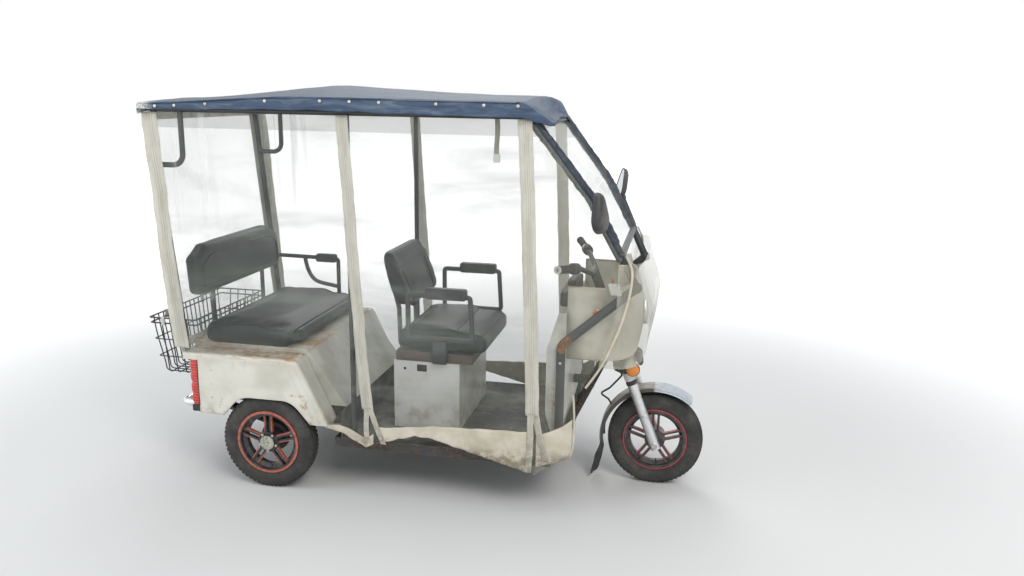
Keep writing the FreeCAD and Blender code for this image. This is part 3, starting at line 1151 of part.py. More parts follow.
legSolids = []
for side in (-1, 1):
    legFoot = onHead(-s.sliderRadius, s.forkOffset, side * s.legHalf)
    legSolids.append(Part.makeCylinder(s.sliderRadius, s.sliderTop + s.sliderRadius, legFoot, axisUp))
    spacerLength = s.legHalf - s.hubWidth / 2 - s.wheelSideClearance
    spacerStart = at(s.wheelbase, side * (s.hubWidth / 2 + s.wheelSideClearance), s.tyreRadius)
    legSolids.append(Part.makeCylinder(s.axleShaftRadius, spacerLength, spacerStart, V(0, side, 0)))
spindleHalf = s.legHalf + s.sliderRadius + s.spokeBar / 2
legSolids.append(Part.makeCylinder(s.frontAxleRadius, 2 * spindleHalf,
                                   at(s.wheelbase, -spindleHalf, s.tyreRadius),
                                   V(0, 1, 0)))
shaped("fork_sliders", fused(legSolids))

# Handlebar with grips and switch housings
gripEnd = at(s.gripEndU, -s.gripEndHalf, s.gripEndHeight)
gripInner = at(s.gripInnerU, -s.gripInnerHalf, s.gripInnerHeight)
clamp = onHead(s.barAlong, s.forkOffset)
gripRun = (gripEnd - gripInner).normalize()
barRight = [gripEnd - gripRun, gripInner - gripRun * s.controlLength * 1.4, clamp - V(0, s.barHalfFlat, 0)]
barPath = barRight + [across(point) for point in reversed(barRight)]
risers = [Part.makeCylinder(s.riserRadius, s.barAlong - s.upperYoke - s.yokeDepth,
                            onHead(s.upperYoke + s.yokeDepth, s.forkOffset, side * s.barHalfFlat / 2), axisUp)
          for side in (-1, 1)]
shaped("handlebar", fused([tube(barPath, s.barRadius, s.barHalfFlat / 2)] + risers))


def sleeve(start, run, length, radius):
    """A tube that slides over the bar."""
    outer = Part.makeCylinder(radius, length, start, run)
    return outer.cut(Part.makeCylinder(s.barRadius + s.runningClearance, length, start, run))


grip = sleeve(gripInner, gripRun, (gripEnd - gripInner).Length, s.gripRadius)
control = sleeve(gripInner - gripRun * (s.controlLength + s.fitGap), gripRun, s.controlLength,
                 s.controlRadius)
shaped("hand_grips", Part.makeCompound([grip, grip.mirror(V(), V(0, 1, 0))]))
shaped("switch_housings", Part.makeCompound([control, control.mirror(V(), V(0, 1, 0))]))

# Front mudguard, its flap and brackets
guardAxis = at(s.wheelbase, 0, s.tyreRadius)
rim0 = s.mudguardRadius - s.mudguardWall
section = [(-s.mudguardHalf, s.mudguardRadius - s.mudguardEdge),
           (-s.mudguardHalf, s.mudguardRadius - s.mudguardEdge / 3),
           (-s.mudguardHalf * 0.7, s.mudguardRadius), (s.mudguardHalf * 0.7, s.mudguardRadius),
           (s.mudguardHalf, s.mudguardRadius - s.mudguardEdge / 3),
           (s.mudguardHalf, s.mudguardRadius - s.mudguardEdge),
           (s.mudguardHalf - s.mudguardWall, s.mudguardRadius - s.mudguardEdge),
           (s.mudguardHalf - s.mudguardWall, rim0 - s.mudguardEdge / 3), (s.mudguardHalf * 0.68, rim0),
           (-s.mudguardHalf * 0.68, rim0), (s.mudguardWall - s.mudguardHalf, rim0 - s.mudguardEdge / 3),
           (s.mudguardWall - s.mudguardHalf, s.mudguardRadius - s.mudguardEdge)]
sectionCorners = [V(radius, lateral, 0) for lateral, radius in section]
sheetFace = Part.Face(Part.makePolygon(sectionCorners + sectionCorners[:1]))
guardSheet = sheetFace.revolve(V(), V(0, -1, 0), s.mudguardEnd - s.mudguardStart)
guardSheet.rotate(V(), V(0, -1, 0), s.mudguardStart)
guardSheet.translate(guardAxis)
guardSolids = [guardSheet]
for side in (-1, 1):
    bracketLength = s.legHalf - s.sliderRadius - s.mudguardHalf - s.fitGap + s.mudguardWall
    bracket = Part.makeBox(s.mudguardEdge, bracketLength, s.mudguardEdge * 0.6,
                           V(-s.mudguardEdge / 2, 0, -s.mudguardEdge))
    bracket.rotate(V(), V(0, 1, 0), -s.rake)
    lateral = s.mudguardHalf - s.mudguardWall if side > 0 else s.mudguardWall - s.mudguardHalf - bracketLength
    bracket.translate(onHead(s.mudguardRadius, s.forkOffset, lateral))
    guardSolids.append(bracket)
shaped("front_mudguard", fused(guardSolids))

flapAngle = math.radians(s.mudguardEnd)
flapRadial = V(math.cos(flapAngle), 0, math.sin(flapAngle))
flapTop = guardAxis + flapRadial * (s.mudguardRadius - s.mudguardWall) + V(0, 0, -s.fitGap)
flapFoot = at(s.flapBottomU, 0, s.flapBottom)
flapCorners = [flapTop, flapTop + V(s.flapWall, 0, 0), flapFoot + V(s.flapWall, 0, 0), flapFoot]
shaped("mud_flap", polygonPrism([point - V(0, s.flapHalf, 0) for point in flapCorners],
                                V(0, 2 * s.flapHalf, 0)))

# Indicators and horn on the lower yoke
lampAlong = (s.indicatorHeight - onHead(0, s.forkOffset + s.indicatorRadius).z) / axisUp.z
lampSolids = []
for side in (-1, 1):
    lampSeat = onHead(lampAlong, s.forkOffset + s.indicatorRadius,
                      side * (s.legHalf + s.yokeMargin + s.fitGap))
    lampSolids.append(Part.makeCylinder(s.indicatorRadius, s.indicatorWidth, lampSeat, V(0, side, 0)))
shaped("front_indicators", Part.makeCompound(lampSolids))
hornAlong = (s.hornHeight - onHead(0, s.forkOffset + s.yokeMargin + s.hornDepth).z) / axisUp.z
hornSeat = onHead(hornAlong, s.forkOffset + s.yokeMargin + s.fitGap)
hornStalk = Part.makeCylinder(s.riserRadius, s.yokeMargin, hornSeat, axisForward)
hornDisc = Part.makeCylinder(s.hornRadius, s.hornDepth, hornSeat + axisForward * s.yokeMargin, axisForward)
shaped("horn", fused([hornStalk, hornDisc]))

# Brake hose behind the fork, from the lower yoke to the mudguard
hoseY = -s.legHalf / 2
hoseEndAngle = math.radians(s.hoseEndAngle)
hoseReach = s.mudguardRadius + s.hoseRadius + s.fitGap
hosePoints = [onHead(s.lowerYoke - s.fitGap, 0, hoseY), onHead(s.lowerYoke - s.guardBend / 2, 0, hoseY),
              at(s.hoseBackU + s.railHeight, hoseY, s.hoseBackHeight + s.yokeDepth),
              at(s.hoseBackU, hoseY, s.hoseBackHeight),
              at(s.wheelbase + hoseReach * math.cos(hoseEndAngle) - s.yokeDepth / 2, hoseY,
                 s.tyreRadius + hoseReach * math.sin(hoseEndAngle) + s.yokeMargin),
              at(s.wheelbase + hoseReach * math.cos(hoseEndAngle), hoseY,
                 s.tyreRadius + hoseReach * math.sin(hoseEndAngle))]
shaped("brake_hose", tube(hosePoints, s.hoseRadius, s.hoseRadius * 2))

# Every object is recomputed and looked at before its shape is written
doc.recompute()
for item in doc.Objects:
    if "Invalid" in item.State or "Error" in item.State:
        raise SystemExit(f"{item.Label} failed: {item.State}")
os.makedirs("parts", exist_ok=True)
for item in subParts:
    if item.Shape.isNull() or not item.Shape.isValid():
        raise SystemExit(f"{item.Label} has no valid shape")
    item.Shape.exportStep(f"parts/{item.Label}.step")
    print(item.Label, len(item.Shape.Solids), round(item.Shape.Volume / 1e6, 3))
print(len(subParts), "sub-parts")
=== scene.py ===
import math

import bmesh
import bpy
from mathutils import Matrix, Vector, noise


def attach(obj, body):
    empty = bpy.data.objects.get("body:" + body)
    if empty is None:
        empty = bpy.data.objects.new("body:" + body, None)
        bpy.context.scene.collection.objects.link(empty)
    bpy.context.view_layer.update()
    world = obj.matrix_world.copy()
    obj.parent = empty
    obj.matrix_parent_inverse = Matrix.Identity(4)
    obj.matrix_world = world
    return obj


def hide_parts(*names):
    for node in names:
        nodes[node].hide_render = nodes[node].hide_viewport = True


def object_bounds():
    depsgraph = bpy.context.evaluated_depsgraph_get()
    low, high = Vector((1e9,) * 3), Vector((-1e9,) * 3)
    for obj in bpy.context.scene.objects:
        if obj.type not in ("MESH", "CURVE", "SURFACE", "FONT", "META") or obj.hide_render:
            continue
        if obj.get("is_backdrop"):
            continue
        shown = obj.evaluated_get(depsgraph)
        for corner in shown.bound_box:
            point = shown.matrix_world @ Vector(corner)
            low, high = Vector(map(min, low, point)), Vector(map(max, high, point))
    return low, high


# Looks of a passenger electric trike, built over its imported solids. Metres, +X forward, +Y left, +Z up.

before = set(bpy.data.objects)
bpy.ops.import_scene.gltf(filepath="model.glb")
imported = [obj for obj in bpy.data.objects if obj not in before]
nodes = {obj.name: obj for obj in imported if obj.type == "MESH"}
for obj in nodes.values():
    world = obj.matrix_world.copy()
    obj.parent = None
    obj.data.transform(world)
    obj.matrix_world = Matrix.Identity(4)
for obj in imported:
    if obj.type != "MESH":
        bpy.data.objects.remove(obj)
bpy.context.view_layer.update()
rearAxleX = -0.595
frontAxleX = 1.010
wheelRadius = 0.205
sides = (-1, 1)  # right and left


def place(ahead, left, up):  # millimetres ahead of the rear axle, left of the middle and above the ground
    return Vector((ahead / 1000 + rearAxleX, left / 1000, up / 1000))


def limit(value, low=0.0, high=1.0):
    return max(low, min(high, value))


def tinted(colour, gain, lift=0.0):
    return tuple(min(1.0, channel * gain + lift) for channel in colour)


class Nodes:  # short calls that add nodes to a tree
    def __init__(self, tree):
        self.tree = tree

    def add(self, kind, sockets=None, **settings):
        node = self.tree.nodes.new(kind)
        for name, value in settings.items():
            setattr(node, name, value)
        for key, value in (sockets or {}).items():
            if isinstance(value, bpy.types.NodeSocket):
                self.tree.links.new(value, node.inputs[key])
            else:
                node.inputs[key].default_value = value
        return node

    def maths(self, how, first, second=0.0, clamp=False):
        return self.add("ShaderNodeMath", {0: first, 1: second}, operation=how, use_clamp=clamp).outputs[0]

    def plus(self, first, second, clamp=False):
        return self.maths("ADD", first, second, clamp)

    def times(self, first, *others):
        for other in others:
            first = self.maths("MULTIPLY", first, other)
        return first

    def vector(self, how, *values):
        node = self.add("ShaderNodeVectorMath", dict(enumerate(values)), operation=how)
        return node.outputs["Value" if how in ("LENGTH", "DISTANCE") else 0]

    def span(self, value, low, high, start=0.0, end=1.0, **settings):
        return self.add("ShaderNodeMapRange", {0: value, 1: start, 2: end, 3: low, 4: high}, **settings).outputs[0]

    def fade(self, value, low, high):  # 0 below low, 1 above high
        return self.span(value, 0.0, 1.0, low, high, interpolation_type="SMOOTHSTEP")


class Shade(Nodes):  # a material round one Principled shader
    def __init__(self, name, rough=0.5, metal=0.0, **values):
        self.material = bpy.data.materials.new(name)
        self.material.use_nodes = True
        super().__init__(self.material.node_tree)
        self.shader = self.tree.nodes["Principled BSDF"]
        self.home = None
        for key, value in dict(values, Roughness=rough, Metallic=metal).items():
            self.shader.inputs[key.replace("_", " ")].default_value = value

    def spot(self, scale=(1, 1, 1), shift=(0, 0, 0), source="Object"):
        coordinates = self.add("ShaderNodeTexCoord")
        return self.add("ShaderNodeMapping", {0: coordinates.outputs[source], 1: shift, 3: scale}).outputs[0]

    @property
    def point(self):
        self.home = self.home or self.spot()
        return self.home

    def grain(self, scale, detail=4.0, rough=0.55, twist=0.0, at=None):
        return self.add("ShaderNodeTexNoise", {0: at or self.point, "Scale": scale, "Detail": detail,
                                               "Roughness": rough, "Distortion": twist}).outputs[0]

    def weave(self, scale):
        return self.add("ShaderNodeTexChecker", {0: self.point, "Scale": scale}).outputs[1]

    def axis(self, index, at=None):
        return self.add("ShaderNodeSeparateXYZ", {0: at or self.point}).outputs[index]

    def ramp(self, value, stops):
        node = self.add("ShaderNodeValToRGB", {0: value})
        band = node.color_ramp
        while len(band.elements) < len(stops):
            band.elements.new(0.5)
        for element, (position, colour) in zip(band.elements, stops):
            element.position = position
            element.color = (*colour, 1)
        return node.outputs[0]

    def mix(self, share, first, second, amount=None):
        if amount is not None:
            share = self.times(share, amount)
        first, second = ((*value, 1) if isinstance(value, tuple) else value for value in (first, second))
        return self.add("ShaderNodeMix", {0: share, 6: first, 7: second}, data_type="RGBA").outputs[2]

    def clouded(self, cloud, low, high, first, second):  # two colours, parted by a cloud
        return self.mix(self.fade(cloud, low, high), first, second)

    def link(self, socket, name):
        self.tree.links.new(socket, self.shader.inputs[name])

    def finish(self, colour, rough=None, bump=None):  # rough is (value, low, high), bump is (height, strength, depth)
        self.link(colour, "Base Color")
        if rough:
            self.link(self.span(*rough), "Roughness")
        if bump:
            bumps = self.add("ShaderNodeBump", dict(zip(("Height", "Strength", "Distance"), bump)))
            self.link(bumps.outputs[0], "Normal")
        return self.material


def moulding(name, light, dark, rustStart=None, rustEnd=None, scars=()):  # pale moulded panel with grime and rust runs
    s = Shade(name, 0.38, Coat_Weight=0.25, Coat_Roughness=0.25)
    cloud = s.grain(7.0, 5.0)
    colour = s.clouded(cloud, 0.35, 0.7, light, dark)
    colour = s.mix(s.fade(s.grain(160.0, 3.0), 0.62, 0.75), colour, (0.42, 0.36, 0.27), 0.35)
    height = s.axis(2)
    foot = s.times(s.fade(height, 0.40, 0.30), s.fade(s.grain(22.0), 0.42, 0.66))
    colour = s.mix(foot, colour, (0.36, 0.30, 0.22), 0.6)
    if rustStart is not None:
        run = s.grain(1.0, 5.0, 0.7, at=s.spot((26, 26, 5)))
        edge = s.grain(1.0, 4.0, 0.7, at=s.spot((5, 5, 40)))
        band = s.times(s.fade(height, rustStart, rustEnd), s.fade(run, 0.50, 0.68), 0.60)
        line = s.times(s.fade(height, rustEnd - 0.018, rustEnd - 0.006), s.fade(edge, 0.44, 0.60), 0.92)
        stain = s.maths("MAXIMUM", band, line)
        for centre, (wide, tall) in scars:
            gap = s.vector("MULTIPLY", s.vector("SUBTRACT", s.point, centre), (1 / wide, 0, 1 / tall))
            near = s.fade(s.vector("LENGTH", gap), 1.25, 0.35)
            stain = s.maths("MAXIMUM", stain, s.times(near, s.fade(s.grain(42.0, 6.0, 0.72), 0.46, 0.60), 0.85))
        rust = s.ramp(s.grain(45.0), [(0.3, (0.55, 0.33, 0.14)), (0.7, (0.28, 0.14, 0.06))])
        colour = s.mix(stain, colour, rust)
    return s.finish(colour, (cloud, 0.30, 0.55), (s.grain(60.0, 3.0), 0.12, 0.0006))


def paintedMetal(name, base, worn, wear=0.62, rough=0.42):  # paint with scuffs and rust specks
    s = Shade(name, rough, Coat_Weight=0.15, Coat_Roughness=0.3)
    chips = s.grain(90.0, 6.0, 0.7, 0.4)
    mask = s.times(s.fade(s.grain(14.0, 6.0, 0.65), wear - 0.08, wear + 0.08), s.fade(chips, 0.48, 0.6))
    colour = s.clouded(s.grain(5.0), 0.3, 0.7, base, tinted(base, 1.35, 0.01))
    return s.finish(s.mix(mask, colour, worn), (chips, rough - 0.1, rough + 0.22), (chips, 0.15, 0.0004))


def guardPaint(name, bend, reach):  # black paint that has rusted through round the guard tube's bends
    s = Shade(name, 0.45, Coat_Weight=0.15, Coat_Roughness=0.3)
    folded = s.add("ShaderNodeCombineXYZ", {0: s.axis(0), 1: s.maths("ABSOLUTE", s.axis(1)), 2: s.axis(2)}).outputs[0]
    chips = s.grain(55.0, 6.0, 0.7, 0.4)
    flake = s.plus(s.fade(s.vector("DISTANCE", folded, bend), reach, reach * 0.25), s.times(chips, 0.9))
    rust = s.fade(flake, 0.86, 1.02)
    tone = s.clouded(s.grain(120.0), 0.35, 0.65, (0.30, 0.115, 0.032), (0.11, 0.045, 0.022))
    sheen = s.clouded(s.grain(5.0), 0.3, 0.7, (0.022, 0.026, 0.030), (0.050, 0.055, 0.060))
    return s.finish(s.mix(rust, sheen, tone), (chips, 0.30, 0.66), (s.plus(chips, rust), 0.25, 0.0008))


def bareMetal(name, base, grime, rough=0.25, streak=(40, 40, 40)):
    s = Shade(name, rough, 1.0)
    scratch = s.grain(1.0, 6.0, 0.7, at=s.spot(streak))
    colour = s.clouded(s.grain(26.0, 5.0, 0.65), 0.5, 0.75, base, grime)
    return s.finish(colour, (scratch, rough * 0.6, rough * 1.9), (scratch, 0.1, 0.0003))


def plastic(name, base, rough=0.5, dust=0.25):
    s = Shade(name, rough)
    cloud = s.grain(11.0, 5.0)
    dusty = tuple(channel * (1 - dust) + grey * dust for channel, grey in zip(base, (0.40, 0.37, 0.32)))
    colour = s.clouded(cloud, 0.38, 0.72, base, dusty)
    return s.finish(colour, (cloud, rough - 0.08, rough + 0.18), (s.grain(420.0, 2.0), 0.16, 0.0003))


def rubber(name, base=(0.030, 0.030, 0.029), dust=(0.092, 0.086, 0.076)):
    s = Shade(name, 0.8)
    grit = s.grain(260.0, 3.0)
    colour = s.clouded(s.grain(9.0, 6.0, 0.7), 0.36, 0.78, base, dust)
    return s.finish(s.mix(s.fade(grit, 0.55, 0.8), colour, dust, 0.3), (grit, 0.66, 0.95), (grit, 0.3, 0.0006))


def seatVinyl(name, base=(0.010, 0.011, 0.012), haze=(0.040, 0.044, 0.045)):
    s = Shade(name, 0.42, Coat_Weight=0.1, Coat_Roughness=0.35, Specular_IOR_Level=0.32)
    pores = s.add("ShaderNodeTexVoronoi", {0: s.point, "Scale": 900.0}, feature="DISTANCE_TO_EDGE").outputs[0]
    cloud = s.grain(5.0, 4.0, 0.6)
    crease = s.grain(2.2, 5.0, 0.7, 1.2, s.spot((10, 3, 10)))
    colour = s.mix(s.fade(crease, 0.56, 0.72), s.clouded(cloud, 0.42, 0.78, base, haze), haze, 0.5)
    height = s.plus(s.times(pores, 0.03), s.times(crease, 1.2))
    return s.finish(colour, (cloud, 0.34, 0.62), (height, 0.22, 0.0010))


def lens(name, base, deep, ribs):  # moulded lamp lens with fine flutes
    s = Shade(name, 0.16, Coat_Weight=0.6, Coat_Roughness=0.08)
    wave = s.add("ShaderNodeTexWave", {0: s.point, "Scale": ribs, "Distortion": 0.0}, bands_direction="Z").outputs[1]
    colour = s.mix(s.fade(s.grain(30.0), 0.5, 0.8), s.clouded(wave, 0.2, 0.8, base, deep), tinted(base, 0.6, 0.2), 0.3)
    return s.finish(colour, None, (wave, 0.25, 0.0012))


def clearFilm(name, haze, veil, folds, clouds=(1.1, 1.1, 2.2), gathersAndHighlight=None, creased=0.13):
    # scuffed clear vinyl: soft clouds, long faint creases and, between the x values of gathersAndHighlight, upright
    # folds that thicken the film and carry a painted highlight, near white where they catch the light
    s = Shade(name, 0.20, Coat_Weight=0.3, Coat_Roughness=0.12)
    broad = s.grain(1.0, 3.0, 0.5, 0.2, s.spot(clouds))
    streak = s.grain(1.0, 3.0, 0.5, 0.3, s.spot(folds))
    fine = s.grain(1.0, 4.0, 0.7, at=s.spot((60, 60, 60)))
    colour = s.ramp(broad, [(0.30, tinted(haze, 0.86)), (0.55, haze), (0.78, tinted(haze, 1.16))])
    crease = s.times(s.fade(streak, 0.50, 0.74), 0.7)
    cover = s.times(s.fade(broad, 0.30, 0.75), 0.07)
    if gathersAndHighlight:
        start, end, low, high = gathersAndHighlight
        upright = s.fade(s.grain(1.0, 2.0, 0.4, 0.5, s.spot((26, 4, 1.0))), 0.50, 0.66)
        foldsAndHighlight = s.times(upright, s.times(s.fade(s.axis(0), end, start), s.fade(s.axis(2), low, high)))
        cover = s.plus(cover, s.times(foldsAndHighlight, 0.24))
        # painted highlight: the gathered folds are coloured near white to stand in for the light they catch
        colour = s.mix(foldsAndHighlight, colour, (0.90, 0.91, 0.88))
    cover = s.plus(s.plus(cover, s.times(crease, creased)), s.times(fine, 0.02))
    s.link(s.plus(cover, veil, True), "Alpha")
    return s.finish(s.mix(crease, colour, tinted(haze, 1.35, 0.06)), (fine, 0.14, 0.34), (streak, 0.35, 0.004))


def webbing(name, base, dirty):  # seam tape with zip lines along its length, across u from 0 to 1
    s = Shade(name, 0.82, Subsurface_Weight=0.45, Subsurface_Scale=0.012, Subsurface_Radius=(1.0, 0.96, 0.88))
    across = s.axis(0, s.spot(source="UV"))
    weave = s.add("ShaderNodeTexWave", {0: s.spot((30, 160, 1), source="UV"), "Scale": 1.0, "Distortion": 1.0},
                  bands_direction="DIAGONAL").outputs[1]
    fibres = s.grain(1.0, 6.0, 0.7, at=s.spot((26, 7, 1), source="UV"))
    colour = s.clouded(s.grain(2.0, 6.0, 0.7, at=s.spot((9, 9, 3))), 0.35, 0.7, base, dirty)
    colour = s.mix(s.fade(fibres, 0.48, 0.66), colour, (0.42, 0.40, 0.34), 0.4)
    for centre, half in ((0.38, 0.02), (0.53, 0.03), (0.68, 0.02)):
        off = s.maths("ABSOLUTE", s.maths("SUBTRACT", across, centre))
        colour = s.mix(s.fade(off, half, half * 0.3), colour, (0.30, 0.29, 0.25), 0.55)
    soil = s.times(s.fade(s.axis(2), 0.48, 0.22), s.fade(s.grain(30.0, 5.0, 0.7), 0.38, 0.62))
    colour = s.mix(soil, colour, (0.24, 0.20, 0.15), 0.75)
    return s.finish(colour, None, (s.plus(weave, s.times(fibres, 1.5)), 0.35, 0.0009))


def canvas(name, base, dirty, soilHigh, soilLow):
    s = Shade(name, 0.85)
    cloud = s.grain(9.0, 6.0, 0.68)
    soil = s.times(s.fade(s.axis(2), soilHigh, soilLow), s.fade(s.grain(24.0, 6.0, 0.72), 0.42, 0.60))
    colour = s.mix(soil, s.clouded(cloud, 0.34, 0.70, base, dirty), (0.20, 0.16, 0.11), 0.8)
    return s.finish(colour, None, (s.plus(s.weave(700.0), s.times(cloud, 3.0)), 0.3, 0.0008))


def roofCoating(name):  # coated canvas, faded and dusty on top
    s = Shade(name, 0.66, Specular_IOR_Level=0.30)
    cloud = s.grain(2.4, 6.0, 0.66, 0.8, s.spot((2.2, 2.2, 14)))
    colour = s.ramp(cloud, [(0.28, (0.028, 0.046, 0.082)), (0.50, (0.060, 0.092, 0.150)),
                            (0.72, (0.150, 0.190, 0.250))])
    top = s.fade(s.axis(2, s.add("ShaderNodeNewGeometry").outputs["Normal"]), 0.55, 0.95)
    colour = s.mix(top, colour, (0.150, 0.172, 0.200), 0.75)
    scuff = s.times(s.fade(s.axis(0), -0.985, -1.045), s.fade(s.axis(1), -0.40, -0.46),
                    s.fade(s.grain(60.0, 5.0, 0.7), 0.38, 0.52))
    crease = s.grain(1.6, 5.0, 0.7, 1.5, s.spot((6, 6, 6)))
    bumps = s.plus(s.times(s.weave(900.0), 0.15), s.times(crease, 2.2))
    return s.finish(s.mix(scuff, colour, (0.62, 0.62, 0.60)), (cloud, 0.55, 0.80), (bumps, 0.4, 0.004))


def wheelPaint(name, ringColour, centre, ringInner, ringOuter):  # black alloy, coloured ring and spoke edges
    s = Shade(name, 0.36, Coat_Weight=0.3, Coat_Roughness=0.2)
    spokeTop = 0.116
    s.home = s.spot(shift=tuple(-value for value in centre))
    x, z = s.axis(0), s.axis(2)
    radius = s.vector("LENGTH", s.add("ShaderNodeCombineXYZ", {0: x, 2: z}).outputs[0])
    dirt = s.grain(34.0, 5.0, 0.7)
    colour = s.clouded(dirt, 0.42, 0.7, (0.022, 0.022, 0.023), (0.10, 0.09, 0.08))
    band = s.times(s.fade(radius, ringInner, ringInner + 0.0008), s.fade(radius, ringOuter, ringOuter - 0.0008))
    turn = s.plus(s.maths("ARCTAN2", z, x), -math.pi / 2)
    fifth = s.add("ShaderNodeMath", {0: turn, 1: math.pi / 5, 2: -math.pi / 5}, operation="WRAP").outputs[0]
    lateral = s.times(radius, s.maths("ABSOLUTE", s.maths("SINE", fifth)))
    edges = s.times(s.fade(lateral, 0.0138, 0.0144), s.fade(radius, spokeTop, spokeTop - 0.002),
                    s.fade(radius, 0.044, 0.047), s.fade(lateral, 0.0200, 0.0190))
    tone = s.clouded(s.grain(60.0), 0.4, 0.7, ringColour, tinted(ringColour, 0.55))
    return s.finish(s.mix(s.plus(band, edges, True), colour, tone), (dirt, 0.28, 0.6), (dirt, 0.12, 0.0005))


def clearGlass(name):
    s = Shade(name, 0.06, Coat_Weight=0.3)
    smear = s.grain(1.6, 5.0, 0.6, at=s.spot((3, 3, 9)))
    s.link(s.span(smear, 0.16, 0.34, 0.3, 0.8), "Alpha")
    return s.finish(s.mix(smear, (0.30, 0.36, 0.33), (0.55, 0.58, 0.54)), (smear, 0.03, 0.16))


def mudguardFinish(name):  # bright metal over the front half, weathered beige behind, dark along the edges
    s = Shade(name, 0.3, Coat_Weight=0.2, Coat_Roughness=0.2)
    cloud = s.grain(22.0, 6.0, 0.7)
    front = s.fade(s.axis(0), 0.992, 1.004)
    edge = s.fade(s.maths("ABSOLUTE", s.axis(1)), 0.041, 0.047)
    beige = s.clouded(cloud, 0.35, 0.7, (0.50, 0.46, 0.38), (0.27, 0.25, 0.21))
    beige = s.mix(edge, beige, (0.035, 0.036, 0.038), 0.9)
    bright = s.clouded(cloud, 0.5, 0.75, (0.47, 0.51, 0.56), (0.33, 0.33, 0.33))
    s.link(front, "Metallic")
    shine = s.maths("SUBTRACT", s.times(cloud, 0.5), s.times(front, 0.2))
    return s.finish(s.mix(front, beige, bright), (shine, 0.42, 0.62), (cloud, 0.12, 0.0006))


def scar(ahead, left, height, wide, tall):
    return tuple(place(ahead, left, height)), (wide, tall)


gelcoat = moulding("cream_gelcoat", (0.72, 0.70, 0.62), (0.58, 0.56, 0.48), 0.50, 0.578, [
    scar(ahead, -458, height, wide, tall) for ahead, height, wide, tall in (
        (168, 582, 0.032, 0.010), (204, 519, 0.011, 0.048), (236, 449, 0.012, 0.050), (272, 374, 0.013, 0.050),
        (142, 430, 0.040, 0.010), (176, 392, 0.020, 0.030), (205, 332, 0.011, 0.040))])
shelfGelcoat = moulding("grubby_gelcoat", (0.66, 0.65, 0.58), (0.46, 0.44, 0.37), 0.56, 0.60)
noseGelcoat = moulding("nose_gelcoat", (0.64, 0.61, 0.52), (0.40, 0.37, 0.29), 0.80, 0.93)
shieldPlastic = moulding("shield_plastic", (0.70, 0.70, 0.66), (0.52, 0.51, 0.46))
legPlastic = moulding("leg_shield_plastic", (0.66, 0.66, 0.61), (0.42, 0.41, 0.36), 1.9, 2.0, [
    scar(1212, -430, 455, 0.034, 0.120), scar(1235, -430, 660, 0.040, 0.050)])
blackPaint = paintedMetal("black_frame_paint", (0.022, 0.024, 0.026), (0.17, 0.085, 0.04))
hoopPaint = guardPaint("hoop_paint", tuple(place(1231, 352, 700)), 0.062)
chassisPaint = paintedMetal("chassis_paint", (0.030, 0.029, 0.028), (0.16, 0.085, 0.045), 0.5, 0.6)
panBrown = paintedMetal("pan_brown", (0.085, 0.062, 0.050), (0.17, 0.11, 0.07), 0.5, 0.55)
axleSteel = paintedMetal("axle_steel", (0.065, 0.060, 0.055), (0.20, 0.11, 0.055), 0.48, 0.62)
capGrey = paintedMetal("cap_grey", (0.36, 0.35, 0.30), (0.20, 0.18, 0.15), 0.5, 0.5)
forkSilver = bareMetal("fork_silver", (0.62, 0.63, 0.64), (0.34, 0.33, 0.31), 0.36, (30, 30, 160))
chrome = bareMetal("bright_chrome", (0.80, 0.82, 0.84), (0.42, 0.41, 0.38), 0.14)
zinc = bareMetal("zinc_plate", (0.55, 0.55, 0.53), (0.30, 0.26, 0.20), 0.34)
mirrorGlass = bareMetal("mirror_glass", (0.70, 0.74, 0.76), (0.52, 0.55, 0.56), 0.05)
mudguardCoat = mudguardFinish("mudguard_coat")
tyreRubber = rubber("tyre_rubber")
darkRubber = rubber("dark_rubber", (0.022, 0.022, 0.022), (0.09, 0.085, 0.08))
floorMat = rubber("floor_mat", (0.050, 0.049, 0.047), (0.24, 0.215, 0.18))
flapRubber = rubber("flap_rubber", (0.026, 0.026, 0.026), (0.13, 0.12, 0.105))
blackPlastic = plastic("black_plastic", (0.024, 0.025, 0.027))
greyPlastic = plastic("dash_plastic", (0.040, 0.042, 0.044), 0.55, 0.12)
batteryPlastic = plastic("battery_plastic", (0.035, 0.035, 0.038), 0.6)
gripWhite = plastic("grip_white", (0.60, 0.60, 0.57), 0.45, 0.2)
seatBlack = seatVinyl("seat_vinyl")
sleeveVinyl = seatVinyl("sleeve_vinyl", (0.016, 0.022, 0.036), (0.070, 0.085, 0.110))
padVinyl = seatVinyl("arm_pad_vinyl", (0.026, 0.027, 0.028), (0.09, 0.09, 0.088))
redLens = lens("red_lens", (0.72, 0.045, 0.028), (0.42, 0.015, 0.012), 26.0)
orangeLens = lens("orange_lens", (0.86, 0.30, 0.015), (0.60, 0.16, 0.01), 60.0)
clearLens = lens("headlamp_lens", (0.62, 0.64, 0.65), (0.42, 0.44, 0.46), 40.0)
